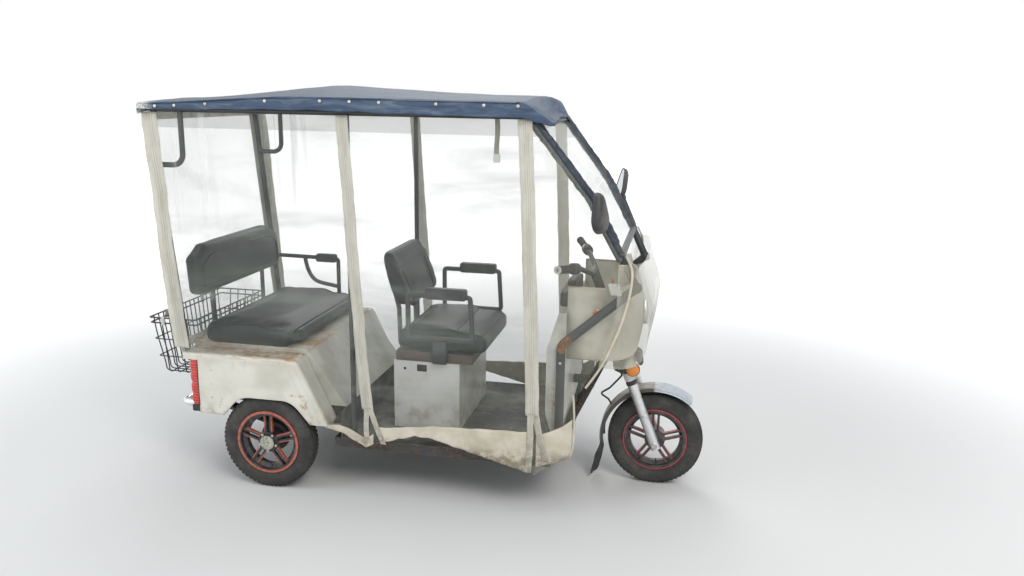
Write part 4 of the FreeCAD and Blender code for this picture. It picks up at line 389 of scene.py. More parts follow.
# the side film's gathered folds carry a painted highlight
sideFilm = clearFilm("side_film", (0.235, 0.26, 0.23), 0.060, (1.3, 1.0, 7.0), creased=0.20,
                     gathersAndHighlight=(rearAxleX - 0.36, rearAxleX - 0.05, 1.02, 1.30))
rearFilm = clearFilm("rear_film", (0.28, 0.31, 0.28), 0.10, (1.0, 2.0, 6.0))
cornerFilm = clearFilm("corner_film", (0.30, 0.31, 0.25), 0.060, (3.4, 1.5, 3.0), creased=0.24)
apronFilm = clearFilm("apron_film", (0.46, 0.45, 0.36), 0.24, (9.0, 9.0, 2.6), (2.4, 2.4, 2.4), creased=0.55)
seamTape = webbing("seam_tape", (0.66, 0.62, 0.52), (0.50, 0.47, 0.38))
hemCanvas = canvas("hem_canvas", (0.66, 0.61, 0.50), (0.50, 0.45, 0.35), 0.30, 0.235)
strapWeb = canvas("strap_web", (0.38, 0.37, 0.31), (0.26, 0.25, 0.20), 0.2, 0.1)
roofVinyl = roofCoating("roof_coating")
rearRimPaint = wheelPaint("rear_rim_paint", (0.52, 0.13, 0.085), (rearAxleX, 0, wheelRadius), 0.1275, 0.1385)
frontRimPaint = wheelPaint("front_rim_paint", (0.42, 0.050, 0.060), (frontAxleX, 0, wheelRadius), 0.1325,
                           0.1390)
windscreenGlass = clearGlass("windscreen_glass")
print("materials made", len(bpy.data.materials))


def inScene(name, data, *materials, corners=None):
    # a mesh or bmesh as an object of the scene; faces with up to this many corners are shaded smooth
    if isinstance(data, bmesh.types.BMesh):
        mesh, data = data, bpy.data.meshes.new(name)
        mesh.to_mesh(data)
        mesh.free()
    for material in materials:
        data.materials.append(material)
    if corners is not None:
        data.polygons.foreach_set("use_smooth", [len(face.vertices) <= corners for face in data.polygons])
    item = bpy.data.objects.new(name, data)
    bpy.context.scene.collection.objects.link(item)
    return item


allSmooth = 1000


def addMesh(name, points, faces, material, corners=allSmooth, uvs=None):
    mesh = bpy.data.meshes.new(name)
    mesh.from_pydata([tuple(point) for point in points], [], faces)
    if uvs:
        layer = mesh.uv_layers.new(name="UVMap")
        for loop in mesh.loops:
            layer.data[loop.index].uv = uvs[loop.vertex_index]
    item = inScene(name, mesh, material, corners=corners)
    mesh.update()
    return item


def facesOut(item, closeEnds=False):  # turns the faces outward
    mesh = bmesh.new()
    mesh.from_mesh(item.data)
    if closeEnds:
        bmesh.ops.holes_fill(mesh, edges=[edge for edge in mesh.edges if edge.is_boundary], sides=0)
    bmesh.ops.recalc_face_normals(mesh, faces=mesh.faces[:])
    mesh.to_mesh(item.data)
    mesh.free()
    return item


def evaluated(item):
    bpy.context.view_layer.update()
    return item.evaluated_get(bpy.context.evaluated_depsgraph_get())


def applyAll(item):  # bakes the modifiers into the mesh
    made = bpy.data.meshes.new_from_object(evaluated(item))
    made.name = item.name
    item.modifiers.clear()
    item.data = made
    return item


def walled(item, thickness, offset=0.0):
    solid = item.modifiers.new("wall", "SOLIDIFY")
    solid.thickness = thickness
    solid.offset = offset
    return applyAll(item)


def gridFaces(columns, rows, flip=False):
    faces = []
    for row in range(rows):
        for column in range(columns):
            corner = row * (columns + 1) + column
            face = (corner, corner + 1, corner + columns + 2, corner + columns + 1)
            faces.append(face[::-1] if flip else face)
    return faces


def sheetGrid(name, pointAt, columns, rows, material, flip=False, thickness=0.0):  # pointAt takes shares from 0 to 1
    uvs = [(column / columns, row / rows) for row in range(rows + 1) for column in range(columns + 1)]
    points = [pointAt(*share) for share in uvs]
    item = addMesh(name, points, gridFaces(columns, rows, flip), material, uvs=uvs)
    return walled(item, thickness) if thickness else item


def ringFaces(rings, closed=False):  # faces between rings of corner numbers; a ring of one is a pole
    faces = []
    count = max(len(ring) for ring in rings)
    for low, high in zip(rings, rings[1:] + (rings[:1] if closed else [])):
        for step in range(count):
            after = (step + 1) % count
            if len(low) == 1:
                faces.append((low[0], high[after], high[step]))
            elif len(high) == 1:
                faces.append((low[step], low[after], high[0]))
            else:
                faces.append((low[step], low[after], high[after], high[step]))
    return faces


def wires(name, runs, radius, material, closed=False, sides=8, smoothTurns=True, fineness=5):  # round bars
    curve = bpy.data.curves.new(name, "CURVE")
    curve.dimensions = "3D"
    curve.bevel_depth = radius
    curve.bevel_resolution = sides // 4
    curve.use_fill_caps = True
    for points in runs:
        spline = curve.splines.new("NURBS" if smoothTurns else "POLY")
        spline.points.add(len(points) - 1)
        for spot, point in zip(spline.points, points):
            spot.co = (*point, 1)
        if smoothTurns:
            spline.order_u = min(3, len(points))
            spline.use_cyclic_u = closed
            spline.use_endpoint_u = not closed
    curve.resolution_u = fineness
    holder = inScene(name + "_curve", curve)
    mesh = bpy.data.meshes.new_from_object(evaluated(holder))
    bpy.data.objects.remove(holder)
    mesh.materials.clear()
    return inScene(name, mesh, material, corners=allSmooth)


def rod(name, points, radius, material, smoothTurns=True, sides=10):
    return wires(name, [points], radius, material, False, sides, smoothTurns, 6)


def joined(name, items):
    mesh = bmesh.new()
    materials = []
    for item in items:
        materials += [material for material in item.data.materials if material not in materials]
        start = len(mesh.faces)
        mesh.from_mesh(item.data)
        mesh.faces.ensure_lookup_table()
        slots = [materials.index(material) for material in item.data.materials]
        for face in mesh.faces[start:]:
            face.material_index = slots[min(face.material_index, len(slots) - 1)]
    for item in items:
        bpy.data.objects.remove(item)
    return inScene(name, mesh, *materials)


def mirrorCopy(item, name):  # the same piece on the other side of the centre plane
    data = item.data.copy()
    data.name = name
    data.transform(Matrix.Scale(-1, 4, (0, 1, 0)))
    data.flip_normals()
    return inScene(name, data)


def onBody(item, replaced=None, body="chassis"):
    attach(item, body)
    if replaced:
        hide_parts(replaced)
    return item


def joinedOn(name, items, replaced=None, body="chassis"):
    return onBody(joined(name, items), replaced, body)


def bothSides(name, right, replaced=None):  # a piece of the right side and its mirrored twin
    pair = []
    for side, item in (("right", right), ("left", mirrorCopy(right, name + "_left"))):
        pair.append(onBody(item, replaced and replaced.format(side)))
    return pair


def softBlock(name, low, high, material, edge=0.004, segments=3, shear=0.0):  # a box with rounded edges
    mesh = bmesh.new()
    bmesh.ops.create_cube(mesh, size=1)
    for vert in mesh.verts:
        vert.co = Vector([low[axis] + (vert.co[axis] + 0.5) * (high[axis] - low[axis]) for axis in range(3)])
        vert.co.x += shear * (vert.co.z - low[2])
    bmesh.ops.bevel(mesh, geom=mesh.edges[:], offset=edge, segments=segments, affect="EDGES", profile=0.5)
    return inScene(name, mesh, material, corners=allSmooth)


def disc(name, centre, axis, radius, depth, material, sides=20, edge=0.002):  # a short round boss along an axis
    mesh = bmesh.new()
    bmesh.ops.create_cone(mesh, cap_ends=True, segments=sides, radius1=radius, radius2=radius, depth=depth)
    rims = [rim for rim in mesh.edges
            if len(rim.link_faces) == 2 and any(len(face.verts) > 4 for face in rim.link_faces)]
    bmesh.ops.bevel(mesh, geom=rims, offset=edge, segments=2, affect="EDGES", profile=0.5)
    turn = Vector((0, 0, 1)).rotation_difference(Vector(axis)).to_matrix().to_4x4()
    mesh.transform(Matrix.Translation(centre) @ turn)
    return inScene(name, mesh, material, corners=4)


def turned(name, start, axis, profile, material, sides=32):  # rows of (along, radius) in metres, closed at both ends
    axis = Vector(axis).normalized()
    side = axis.orthogonal().normalized()
    other = axis.cross(side)
    start = Vector(start)
    points, rings = [], []
    for along, radius in profile:
        count = sides if radius > 1e-6 else 1
        rings.append(list(range(len(points), len(points) + count)))
        for step in range(count):
            turn = 2 * math.pi * step / sides
            reach = (side * math.cos(turn) + other * math.sin(turn)) * radius
            points.append(start + axis * along + reach if count > 1 else start + axis * along)
    faces = ringFaces(rings) + [tuple(ring) for ring in (rings[0][::-1], rings[-1]) if len(ring) > 1]
    return facesOut(addMesh(name, points, faces, material))


def rounded(a, b, c, mix):  # a point on the soft corner from a to c round b
    return a * (1 - mix) ** 2 + b * 2 * mix * (1 - mix) + c * mix ** 2


def softTurn(rows, edge=0.0015):  # rounds the corners of a profile a little
    result = [rows[0]]
    for before, spot, after in zip(rows, rows[1:], rows[2:]):
        a, b, c = Vector(before), Vector(spot), Vector(after)
        reach = min(edge, (b - a).length * 0.4, (c - b).length * 0.4)
        if reach < 1e-5:
            result.append(spot)
            continue
        first, last = (b + (end - b).normalized() * reach for end in (a, c))
        result += [tuple(rounded(first, b, last, share)) for share in (0.0, 0.35, 0.65, 1.0)]
    return result + [rows[-1]]


def ripple(point, scale, size, seed=0.0):  # smooth noise at a point
    return size * noise.noise(Vector((point[0] * scale[0] + seed, point[1] * scale[1], point[2] * scale[2])))


def waver(along, rate, size, seed, shift=0.0):  # smooth noise along a line
    return ripple((along, seed, 0), (rate, 1, 1), size, seed + shift)


def copyTree(name, build, **kinds):  # a geometry tree: build places copies, then they are made real and coated
    tree = bpy.data.node_groups.new(name, "GeometryNodeTree")
    inputs = dict(Geometry="Geometry", **kinds, Material="Material")
    for label, kind in inputs.items():
        tree.interface.new_socket(label, in_out="INPUT", socket_type="NodeSocket" + kind)
    tree.interface.new_socket("Geometry", in_out="OUTPUT", socket_type="NodeSocketGeometry")
    source, result = tree.nodes.new("NodeGroupInput").outputs, tree.nodes.new("NodeGroupOutput")
    g = Nodes(tree)
    coat = g.add("GeometryNodeSetMaterial", {0: build(g, source).outputs[0], "Material": source["Material"]})
    tree.links.new(coat.outputs[0], result.inputs[0])
    return tree


def realCopies(g, points, instance, **sockets):
    spread = g.add("GeometryNodeInstanceOnPoints", {"Points": points, "Instance": instance, **sockets})
    return g.add("GeometryNodeRealizeInstances", {0: spread.outputs[0]})


def rowCopies(g, source):  # along a straight line
    line = g.add("GeometryNodeMeshLine", {"Count": source["Count"], "Offset": source["Step"]})
    return realCopies(g, line.outputs[0], source["Geometry"])


def ringCopies(g, source):  # round the Y axis through Centre
    line = g.add("GeometryNodeMeshLine", {"Count": source["Count"], "Offset": (0.0, 0.0, 0.0)})
    turn = g.maths("DIVIDE", 2 * math.pi, source["Count"])
    angle = g.maths("MULTIPLY", g.add("GeometryNodeInputIndex").outputs[0], turn)
    spin = g.add("ShaderNodeCombineXYZ", {1: angle}).outputs[0]
    real = realCopies(g, line.outputs[0], source["Geometry"], Rotation=spin)
    return g.add("GeometryNodeTransform", {0: real.outputs[0], "Translation": source["Centre"]})


def studCopies(g, source):  # a flattened round stud on every point
    ball = g.add("GeometryNodeMeshUVSphere", {"Segments": 12, "Rings": 7, "Radius": source["Radius"]})
    return realCopies(g, source["Geometry"], ball.outputs[0], Scale=source["Flatten"])


rowTree = copyTree("copy_in_a_row", rowCopies, Count="Int", Step="Vector")
ringTree = copyTree("copy_round_an_axle", ringCopies, Count="Int", Centre="Vector")
studTree = copyTree("stud_on_points", studCopies, Radius="Float", Flatten="Vector")


def runTree(item, tree, **values):  # sets the inputs by identifier, then keeps the result as a plain mesh
    modifier = item.modifiers.new(tree.name, "NODES")
    modifier.node_group = tree
    for socket in tree.interface.items_tree:
        if socket.item_type == "SOCKET" and socket.in_out == "INPUT" and socket.name in values:
            modifier[socket.identifier] = values[socket.name]
    item.update_tag()
    return applyAll(item)


def studs(name, points, radius, flatness):
    item = addMesh(name, points, [], zinc)
    runTree(item, studTree, Radius=radius, Flatten=(1, flatness, 1), Material=zinc)
    item.data.polygons.foreach_set("use_smooth", [True] * len(item.data.polygons))
    return onBody(item)


def between(table, value):  # straight-line value from rows of (place, value)
    if value <= table[0][0]:
        return table[0][1]
    for (lowPlace, low), (highPlace, high) in zip(table, table[1:]):
        if value <= highPlace:
            return low + (high - low) * (value - lowPlace) / (highPlace - lowPlace)
    return table[-1][1]


def rowsBetween(rows, value):  # the same for rows with more values after the place
    return [between([(row[0], row[index]) for row in rows], value) for index in range(1, len(rows[0]))]


def easedBetween(table, value):  # the same with a soft start and end to each run
    for (lowPlace, low), (highPlace, high) in zip(table, table[1:]):
        if value <= highPlace:
            share = max(0.0, (value - lowPlace) / (highPlace - lowPlace))
            share = 0.5 * share + 0.5 * share * share * (3 - 2 * share)
            return low + (high - low) * share
    return table[-1][1]


def smoothStep(value, low, high):
    share = limit((value - low) / (high - low))
    return share * share * (3 - 2 * share)


# camera, light and floor
camera = {"place": (1.0669, -3.5497, 1.6633), "yaw": -0.1964, "pitch": 0.2252, "roll": 0.0159, "lens": 29.897}
lights = (("key_light", (3.2, -4.2, 5.2), (0, 0, 0.7), 3.0, 190, (1.0, 0.98, 0.95)),
          ("side_light", (-4.6, -2.6, 3.4), (0, 0, 0.8), 3.2, 80, (0.93, 0.97, 1.0)),
          ("back_light", (-1.0, 4.6, 4.2), (0, 0, 0.9), 3.4, 100, (1.0, 1.0, 1.0)),
          ("top_light", (0.2, 0.0, 5.6), (0, 0, 0), 4.5, 60, (0.97, 0.98, 1.0)))


def makeCamera():
    yaw, pitch, roll = camera["yaw"], camera["pitch"], camera["roll"]
    ahead = Vector((math.sin(yaw) * math.cos(pitch), math.cos(yaw) * math.cos(pitch), -math.sin(pitch)))
    level = Vector((math.cos(yaw), -math.sin(yaw), 0))
    above = level.cross(ahead)
    right = math.cos(roll) * level + math.sin(roll) * above
    up = -math.sin(roll) * level + math.cos(roll) * above
    data = bpy.data.cameras.new("photo_view")
    data.sensor_width = 36
    data.lens = camera["lens"]
    data.clip_end = 100
    item = inScene("photo_view", data)
    item.matrix_world = Matrix.Translation(camera["place"]) @ Matrix((right, up, -ahead)).transposed().to_4x4()
    bpy.context.scene.camera = item


def areaLight(name, spot, target, size, power, tint):
    data = bpy.data.lights.new(name, "AREA")
    data.shape = "DISK"
    data.size = size
    data.energy = power
    data.color = tint
    item = inScene(name, data)
    item.location = spot
    item.rotation_euler = (Vector(target) - Vector(spot)).to_track_quat("-Z", "Y").to_euler()


def makeWorld():  # white to the eye and in reflections, a soft grey-blue as light
    world = bpy.data.worlds.new("studio")
    bpy.context.scene.world = world
    world.use_nodes = True
    w = Nodes(world.node_tree)
    soft = w.tree.nodes["Background"]
    soft.inputs[0].default_value = (0.86, 0.90, 0.95, 1)
    soft.inputs[1].default_value = 0.55
    white = w.add("ShaderNodeBackground", {0: (1, 1, 1, 1), 1: 1.0})
    path = w.add("ShaderNodeLightPath").outputs
    seen = w.plus(w.plus(path["Is Camera Ray"], path["Is Glossy Ray"]), path["Is Transmission Ray"], True)
    pick = w.add("ShaderNodeMixShader", {0: seen, 1: soft.outputs[0], 2: white.outputs[0]})
    w.tree.links.new(pick.outputs[0], w.tree.nodes["World Output"].inputs[0])
    bpy.context.scene.view_settings.view_transform = "Standard"


def makeFloor(size=30.0):  # fades into the white with distance
    s = Shade("studio_floor", 0.75)
    s.shader.inputs["Emission Color"].default_value = (1, 1, 1, 1)
    s.link(s.fade(s.vector("LENGTH", s.point), 1.8, 6.0), "Emission Strength")
    material = s.finish(s.mix(s.grain(0.7), (0.70, 0.70, 0.69), (0.75, 0.75, 0.74)))
    corners = [(-size, -size, 0), (size, -size, 0), (size, size, 0), (-size, size, 0)]
    floor = addMesh("studio_ground", corners, [(0, 1, 2, 3)], material, 0)
    floor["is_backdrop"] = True


makeCamera()
for light in lights:
    areaLight(*light)
makeWorld()
makeFloor()
print("camera and room made")

# finishes of the solids that stay as they are
coats = {
    "chassis_frame": chassisPaint, "rear_axle": axleSteel, "drive_motor": blackPlastic, "leaf_springs": axleSteel,
    "battery_pack": batteryPlastic, "rear_seat_base": shelfGelcoat, "rear_bumper": chrome, "roof_frame": blackPaint,
    "windscreen_frame": hoopPaint, "windscreen_pane": windscreenGlass, "rear_seat_frame": blackPaint,
    "driver_seat_frame": panBrown, "fork_yokes": blackPaint, "fork_sliders": forkSilver, "handlebar": blackPaint,
    "brake_hose": darkRubber, "rear_right_rim": rearRimPaint, "rear_left_rim": rearRimPaint, "front_rim": frontRimPaint,
    "floor_pan": floorMat, "leg_shield": legPlastic, "driver_seat_box": shieldPlastic, "front_mudguard": mudguardCoat,
}
for nodeName, coat in coats.items():
    nodes[nodeName].data.materials.clear()
    nodes[nodeName].data.materials.append(coat)

# roof cover: one coated sheet with hanging sides, a hump and a drooping visor
roof = {
    "rear": -470, "front": 1192, "visor": 1075, "bows": (-428, 205, 1060),
    "half": [(-470, 480), (1075, 480), (1192, 425)],
    "edge": [(-470, 1604), (205, 1638), (1075, 1632), (1192, 1558)],
    "crown": [(-470, 1622), (205, 1682), (1075, 1652), (1192, 1580)],
    "hem": [(-470, 1582), (205, 1589), (1075, 1576), (1192, 1543)],
    "corner": 12, "sag": 5, "wave": 3.0, "fold": 0.055, "turn": 0.015, "sheet": 0.0035,
    "snaps": (-390, -306, -173, 78, 302, 420, 536, 756, 937, 1063),
}


def roofPoint(share, around):
    ahead = roof["rear"] + share * (roof["front"] - roof["rear"])
    half, edge, crown, hem = (easedBetween(roof[key], ahead) for key in ("half", "edge", "crown", "hem"))
    curl, fold, turn = roof["corner"], roof["fold"], roof["turn"]
    side = -1 if around < 0.5 else 1
    out = min(around, 1 - around)
    if out < fold:
        height = hem + (edge - curl - hem) * (out / fold)
        left = half
    elif out < fold + turn:
        bend = (out - fold) / turn * math.pi / 2
        height = edge - curl + curl * math.sin(bend)
        left = half - curl + curl * math.cos(bend)
    else:
        inward = (out - fold - turn) / (0.5 - fold - turn)
        left = (half - curl) * (1 - inward)
        height = edge + (crown - edge) * (1 - (1 - inward) ** 2.1)
    nearBow = min(abs(ahead - bow) for bow in roof["bows"])
    top = limit((out - 0.05) / 0.2)
    hang = max(0.0, 1 - out / fold)
    height -= roof["sag"] * top * min(1.0, nearBow / 180)
    height += ripple((ahead, left * side, 0), (0.006, 0.010, 1), 3.0, 4.0) * (0.3 + 0.7 * top)
    wave = ripple((ahead, side * 40, 0), (0.021, 1, 1), roof["wave"], 9.0)
    wave += ripple((ahead, side * 70, 0), (0.006, 1, 1), 3.0)
    left += wave * (0.25 + 0.75 * hang) * (1 if out < 0.09 else 0)
    stitched = 0.5 + 0.5 * math.cos(2 * math.pi * (ahead + 306) / 190)
    height += hang * (2.5 * stitched - 2.0 + ripple((ahead, side, 0), (0.05, 1, 1), 1.6))
    visor = max(0.0, (ahead - roof["visor"]) / (roof["front"] - roof["visor"]))
    height += visor * (ripple((ahead, left * side, 0), (0.03, 0.02, 1), 11.0, 2.0) + hang * 3)
    tucked = limit((left * side + 330) / 420) * visor
    return place(ahead - 52 * tucked, left * side, height - 10 * tucked)


def flapPoint(share, up):
    across = abs(2 * share - 1)
    droop = (1 - up) * (34 + 3 * math.cos(share * 40))
    height = 1598 + 18 * (1 - across ** 2.1) - droop + ripple((share * 60, 0, 0), (0.3, 1, 1), 2)
    return place(roof["rear"] - 3 - 2 * math.sin(share * 19), (2 * share - 1) * 478, height)


def roofEdge(ahead):
    return easedBetween(roof["edge"], ahead)


roofCover = sheetGrid("roof_cover_sheet", roofPoint, 250, 132, roofVinyl, False, roof["sheet"])
onBody(roofCover, "roof_cover")
rearFlap = onBody(sheetGrid("roof_rear_flap", flapPoint, 90, 6, roofVinyl, True, 0.003))
hemTrack = [place(ahead, -480 - 1.5 + ripple((ahead, -40, 0), (0.021, 1, 1), 3.0, 9.0), roofEdge(ahead) - 1)
            for ahead in range(-466, 1080, 26)]
flapHem = rod("roof_hem_cord", hemTrack, 0.0028, roofVinyl)
joinedOn("roof_edge_piping", [flapHem, mirrorCopy(flapHem, "roof_hem_cord_left")])
snapSpots = [place(ahead, side * 483.5, roofEdge(ahead) - 14) for ahead in roof["snaps"] for side in sides]
studs("roof_snaps", snapSpots, 0.0065, 0.45)
stitches = []
for side in sides:
    stitch = softBlock("stitch_seed", (-0.0035, -0.0005, -0.0007), (0.0035, 0.0005, 0.0007), seamTape, 0.0003, 1)
    stitch.data.transform(Matrix.Translation(place(600, side * 484.2, 1632.5)))
    stitches.append(runTree(stitch, rowTree, Count=44, Step=(0.0105, 0.0, -0.00003), Material=seamTape))
joinedOn("roof_stitching", stitches)
print("roof made")

# wrinkled vinyl sleeves round the windscreen pillars
sleeve = {"radius": {-1: 21.5, 1: 17.5}, "reach": 0.90, "steps": 60,
          "track": [(0.0, 1112, -408, 1560), (0.55, 1330, -382, 1281), (1.0, 1449, -360, 1066)]}


def pillarSleeve(side):
    spots = []
    for step in range(sleeve["steps"] + 1):
        ahead, left, height = rowsBetween(sleeve["track"], sleeve["reach"] * step / sleeve["steps"])
        spots.append(place(ahead, -side * left, height))
    item = rod("pillar_sleeve", spots, sleeve["radius"][side] / 1000, sleeveVinyl, True, 20)
    for vert in item.data.vertices:
        x, y, z = vert.co * 1000
        nearest = min(spots, key=lambda spot: (spot - vert.co).length_squared)
        swell = ripple((x, y, z), (0.035, 0.035, 0.022), 0.16, 17.0 + side)
        vert.co += (vert.co - nearest) * (swell + ripple((z, x + y, 0), (0.09, 0.03, 1), 0.10, 23.0))
    return item


joinedOn("pillar_sleeves", [pillarSleeve(side) for side in sides])

# clear curtains: the side one is cut short over the body and slit at its foot
film = {"face": 447.0, "fold": 5.5, "billow": 7.0, "head": 1571, "wall": 0.0008}
sideTop = [(0.0, -453), (1.0, 1080)]
sideFoot = [(0.0, -369, 583), (0.335, 144, 585), (0.43, 281, 318), (0.47, 330, 300), (0.5, 378, 268), (0.545, 446, 236),
            (0.60, 524, 262), (0.68, 652, 298), (0.73, 716, 296), (0.86, 926, 244), (1.0, 1136, 196)]
cornerFront = [(198, 1142), (232, 1240), (264, 1288), (330, 1297), (440, 1297), (520, 1306), (632, 1378), (860, 1438),
               (1056, 1438), (1281, 1330), (1556, 1117), (1571, 1086)]
apron = {
    "foot": 632, "tall": 408, "half": 392, "rear": [(632, 1380), (860, 1440), (1040, 1440)],
    "shoulder": [(632, 1533), (860, 1572), (1040, 1523)], "front": [(632, 1545), (860, 1584), (1040, 1535)],
}


def sideOut(ahead, height):  # how far the film stands out from its plane, in millimetres
    rear = math.exp(-((ahead + 190) / 190) ** 2) * limit((height - 850) / 250)
    folds = abs(math.sin(ahead * 0.055 + 1.2 * noise.noise(Vector((ahead * 0.006, height * 0.003, 2.0))))) ** 1.5
    streaks = ripple((ahead, height, 0), (0.0028, 0.014, 1), film["billow"], 5.0)
    broad = ripple((ahead, height, 0), (0.003, 0.0035, 1), 6.0, 11.0)
    reach = 4.0 + rear * folds * film["fold"] * 1.6 + streaks * 0.6 + broad
    overPanel = max(0.0, 1 - abs(height - 583) / 45) * (8.0 if ahead < 200 else 0.0)
    return max(0.4, reach * limit((1572 - height) / 90) + 0.8) + overPanel


def sideSurface(ahead, height, least=0.0):
    return -film["face"] - max(least, sideOut(ahead, height))


def sidePoint(share, up):
    foot, head = rowsBetween(sideFoot, share), (between(sideTop, share), film["head"])
    ahead, height = (low + (high - low) * up for low, high in zip(foot, head))
    return place(ahead, sideSurface(ahead, height), height)


def cornerY(ahead, height):
    bulge = 10 * math.sin(math.pi * limit((ahead - 1085) / 350)) * limit((1560 - height) / 200)
    fan = ripple((ahead - 0.55 * height, height + ahead, 0), (0.012, 0.002, 1), 6.0, 21.0)
    return -448.5 + (ahead - 1080) * 0.155 - bulge * 0.6 - fan * limit((1560 - height) / 150) * 0.7


def cornerPoint(share, up):
    height = 198 + up * 1373
    rearEdge = 1136.5 - 56 * up
    dip = 24 * max(0.0, 1 - up * 14) * math.sin(share * 7.0)
    ahead = rearEdge + (between(cornerFront, height) - rearEdge) * share
    return place(ahead, cornerY(ahead, height), height + dip)


def rearPoint(share, up):
    left = (2 * share - 1) * 443
    height = 584 + up * 987
    back = -372.4 - 0.096 * (height - 582) - 1.6
    wave = ripple((left, height, 0), (0.012, 0.002, 1), 7.0, 31.0)
    wave += ripple((left, height, 0), (0.004, 0.005, 1), 6.0, 33.0)
    return place(back - abs(wave) * math.sin(math.pi * up) * math.sin(math.pi * share), left, height)


def apronPoint(share, up):
    height = apron["foot"] + up * apron["tall"]
    rear, shoulder, front = (easedBetween(apron[key], height) for key in ("rear", "shoulder", "front"))
    left, half = 2 * share - 1, apron["half"]
    plan = [(rear, -half), (shoulder - 2, -378), (front + 4, -235), (front + 5, 0), (front + 4, 235),
            (shoulder - 2, 378), (rear, half)]
    index = int(share * 4.9999)
    mix = share * 4.9999 - index
    a, b, c = (Vector(plan[min(6, index + step)]) for step in range(3))
    point = rounded(a if index == 0 else (a + b) / 2, b, c if index == 4 else (b + c) / 2, mix)
    crinkle = ripple((point.x * 0.4 + left * 260, height * 0.35, 0), (0.045, 0.02, 1), 7.0, 41.0)
    drape = abs(math.sin(left * 21 + height * 0.006)) ** 3 * 4.0 * (1 - up) * (1 - abs(left) ** 6)
    swell = (crinkle * 0.6 + drape - 2.0) * math.sin(math.pi * share) ** 0.5 * (0.35 + 0.65 * math.sin(math.pi * up))
    point += Vector((math.cos(left * 1.1), math.sin(left * 1.1))) * swell
    return place(point.x, point.y, height + 8 * (1 - up) * math.sin(left * 9))


def curtain(name, point, columns, rows, material, flip=False):
    return sheetGrid(name, point, columns, rows, material, flip, film["wall"])


sideFilms = bothSides("side_film", curtain("side_film_right", sidePoint, 190, 110, sideFilm),
                      "side_curtain_{}")
cornerFilms = bothSides("corner_film", curtain("corner_film_right", cornerPoint, 50, 120, cornerFilm),
                        "corner_curtain_{}")
rearFilms = [onBody(curtain("rear_film", rearPoint, 110, 110, rearFilm, True), "rear_curtain")]
apronFilms = [onBody(curtain("apron_film", apronPoint, 150, 60, apronFilm), "front_apron")]
print("films made")


# seam tapes, hems and piping on the films
def tape(name, width, surface, lift, rows, columns, seed, track):
    # track is rows of (height, ahead) from the foot up; surface(ahead, height) gives the outward place across
    foot, head = track[0][0], track[-1][0]

    def point(share, up):
        height = foot + (head - foot) * up
        wobble = waver(height, 0.012, 2.2, seed) + waver(height, 0.05, 0.8, seed, 4)
        edgeWobble = ripple((height, share * 9 + seed, 0), (0.03, 1, 1), 1.5, seed + 8) * abs(2 * share - 1)
        ahead = between(track, height) + wobble + edgeWobble + (share - 0.5) * width
        curl = 1.2 * abs(2 * share - 1) * (0.5 + ripple((height, share, 0), (0.04, 2, 1), 0.8, seed + 12))
        return place(ahead, surface(ahead, height) - lift - curl, height)

    return sheetGrid(name, point, columns, rows, seamTape, False, 0.0012)


def hemBand(name, surface, lift, seed, columns, low, high):  # a canvas band; low and high are rows of (ahead, height)
    start, end = low[0][0], low[-1][0]

    def point(share, up):
        ahead = start + (end - start) * share
        bottom = between(low, ahead) + waver(ahead, 0.03, 4.0, seed)
        top = between(high, ahead) + waver(ahead, 0.02, 3.0, seed, 3)
        height = bottom + (top - bottom) * up
        pucker = 2.4 * abs(math.sin(ahead * 0.09 + seed)) * (1 - up)
        pucker += ripple((ahead, height, 0), (0.03, 0.05, 1), 2.0, seed + 5)
        return place(ahead, surface(ahead, height) - lift - pucker, height)

    return sheetGrid(name, point, columns, 10, hemCanvas, False, 0.0014)


def rearEdgeSurface(ahead, height):
    return sideSurface(ahead, height, 1.5)


tapes = [tape(*row) for row in (
    ("rear_tape", 68, rearEdgeSurface, 3.4, 110, 8, 1.0,
     [(600, -362), (660, -374), (800, -385), (1095, -408), (1340, -422), (1568, -440)]),
    ("middle_tape", 49, sideSurface, 1.6, 110, 6, 3.0,
     [(395, 453), (561, 438), (811, 421), (1093, 402), (1365, 386), (1572, 373)]),
    ("middle_tail_rear", 22, sideSurface, 2.4, 20, 4, 5.0, [(238, 446), (300, 446), (400, 446)]),
    ("middle_tail_front", 24, sideSurface, 2.8, 20, 4, 6.0, [(250, 520), (330, 487), (400, 462)]),
    ("front_tape", 54, sideSurface, 2.6, 110, 6, 8.0,
     [(430, 1136), (617, 1129), (935, 1116), (1277, 1101), (1572, 1084)]),
    ("front_tail_rear", 26, sideSurface, 3.2, 24, 4, 9.0, [(190, 1124), (300, 1128), (440, 1128)]),
    ("front_tail_front", 26, lambda ahead, height: cornerY(ahead, height) - 2.0, 2.6, 24, 4, 10.0,
     [(236, 1190), (330, 1166), (440, 1146)]))]
hems = [hemBand(*row) for row in (
    ("rear_hem", sideSurface, 1.6, 2.0, 40, [(268, 300), (330, 288), (380, 262), (444, 230), (476, 246)],
     [(268, 312), (330, 318), (380, 300), (444, 268), (476, 290)]),
    ("middle_hem", sideSurface, 1.4, 7.0, 120,
     [(500, 272), (524, 262), (652, 298), (716, 295), (926, 242), (1116, 190)],
     [(500, 322), (524, 322), (652, 336), (736, 346), (923, 354), (1116, 360)]),
    ("front_hem", lambda ahead, height: cornerY(ahead, height) - 1.2, 1.4, 13.0, 30,
     [(1150, 212), (1184, 222), (1240, 236), (1290, 264)], [(1150, 340), (1200, 362), (1250, 386), (1296, 424)]))]


def pipePoint(ahead, height):  # the spot on the apron film nearest to a place ahead
    spots = [apronPoint(step / 200, (height - apron["foot"]) / apron["tall"]) for step in range(50)]
    return min(spots, key=lambda spot: abs(spot.x - place(ahead, 0, 0).x)) + Vector((0.001, -0.0045, 0))


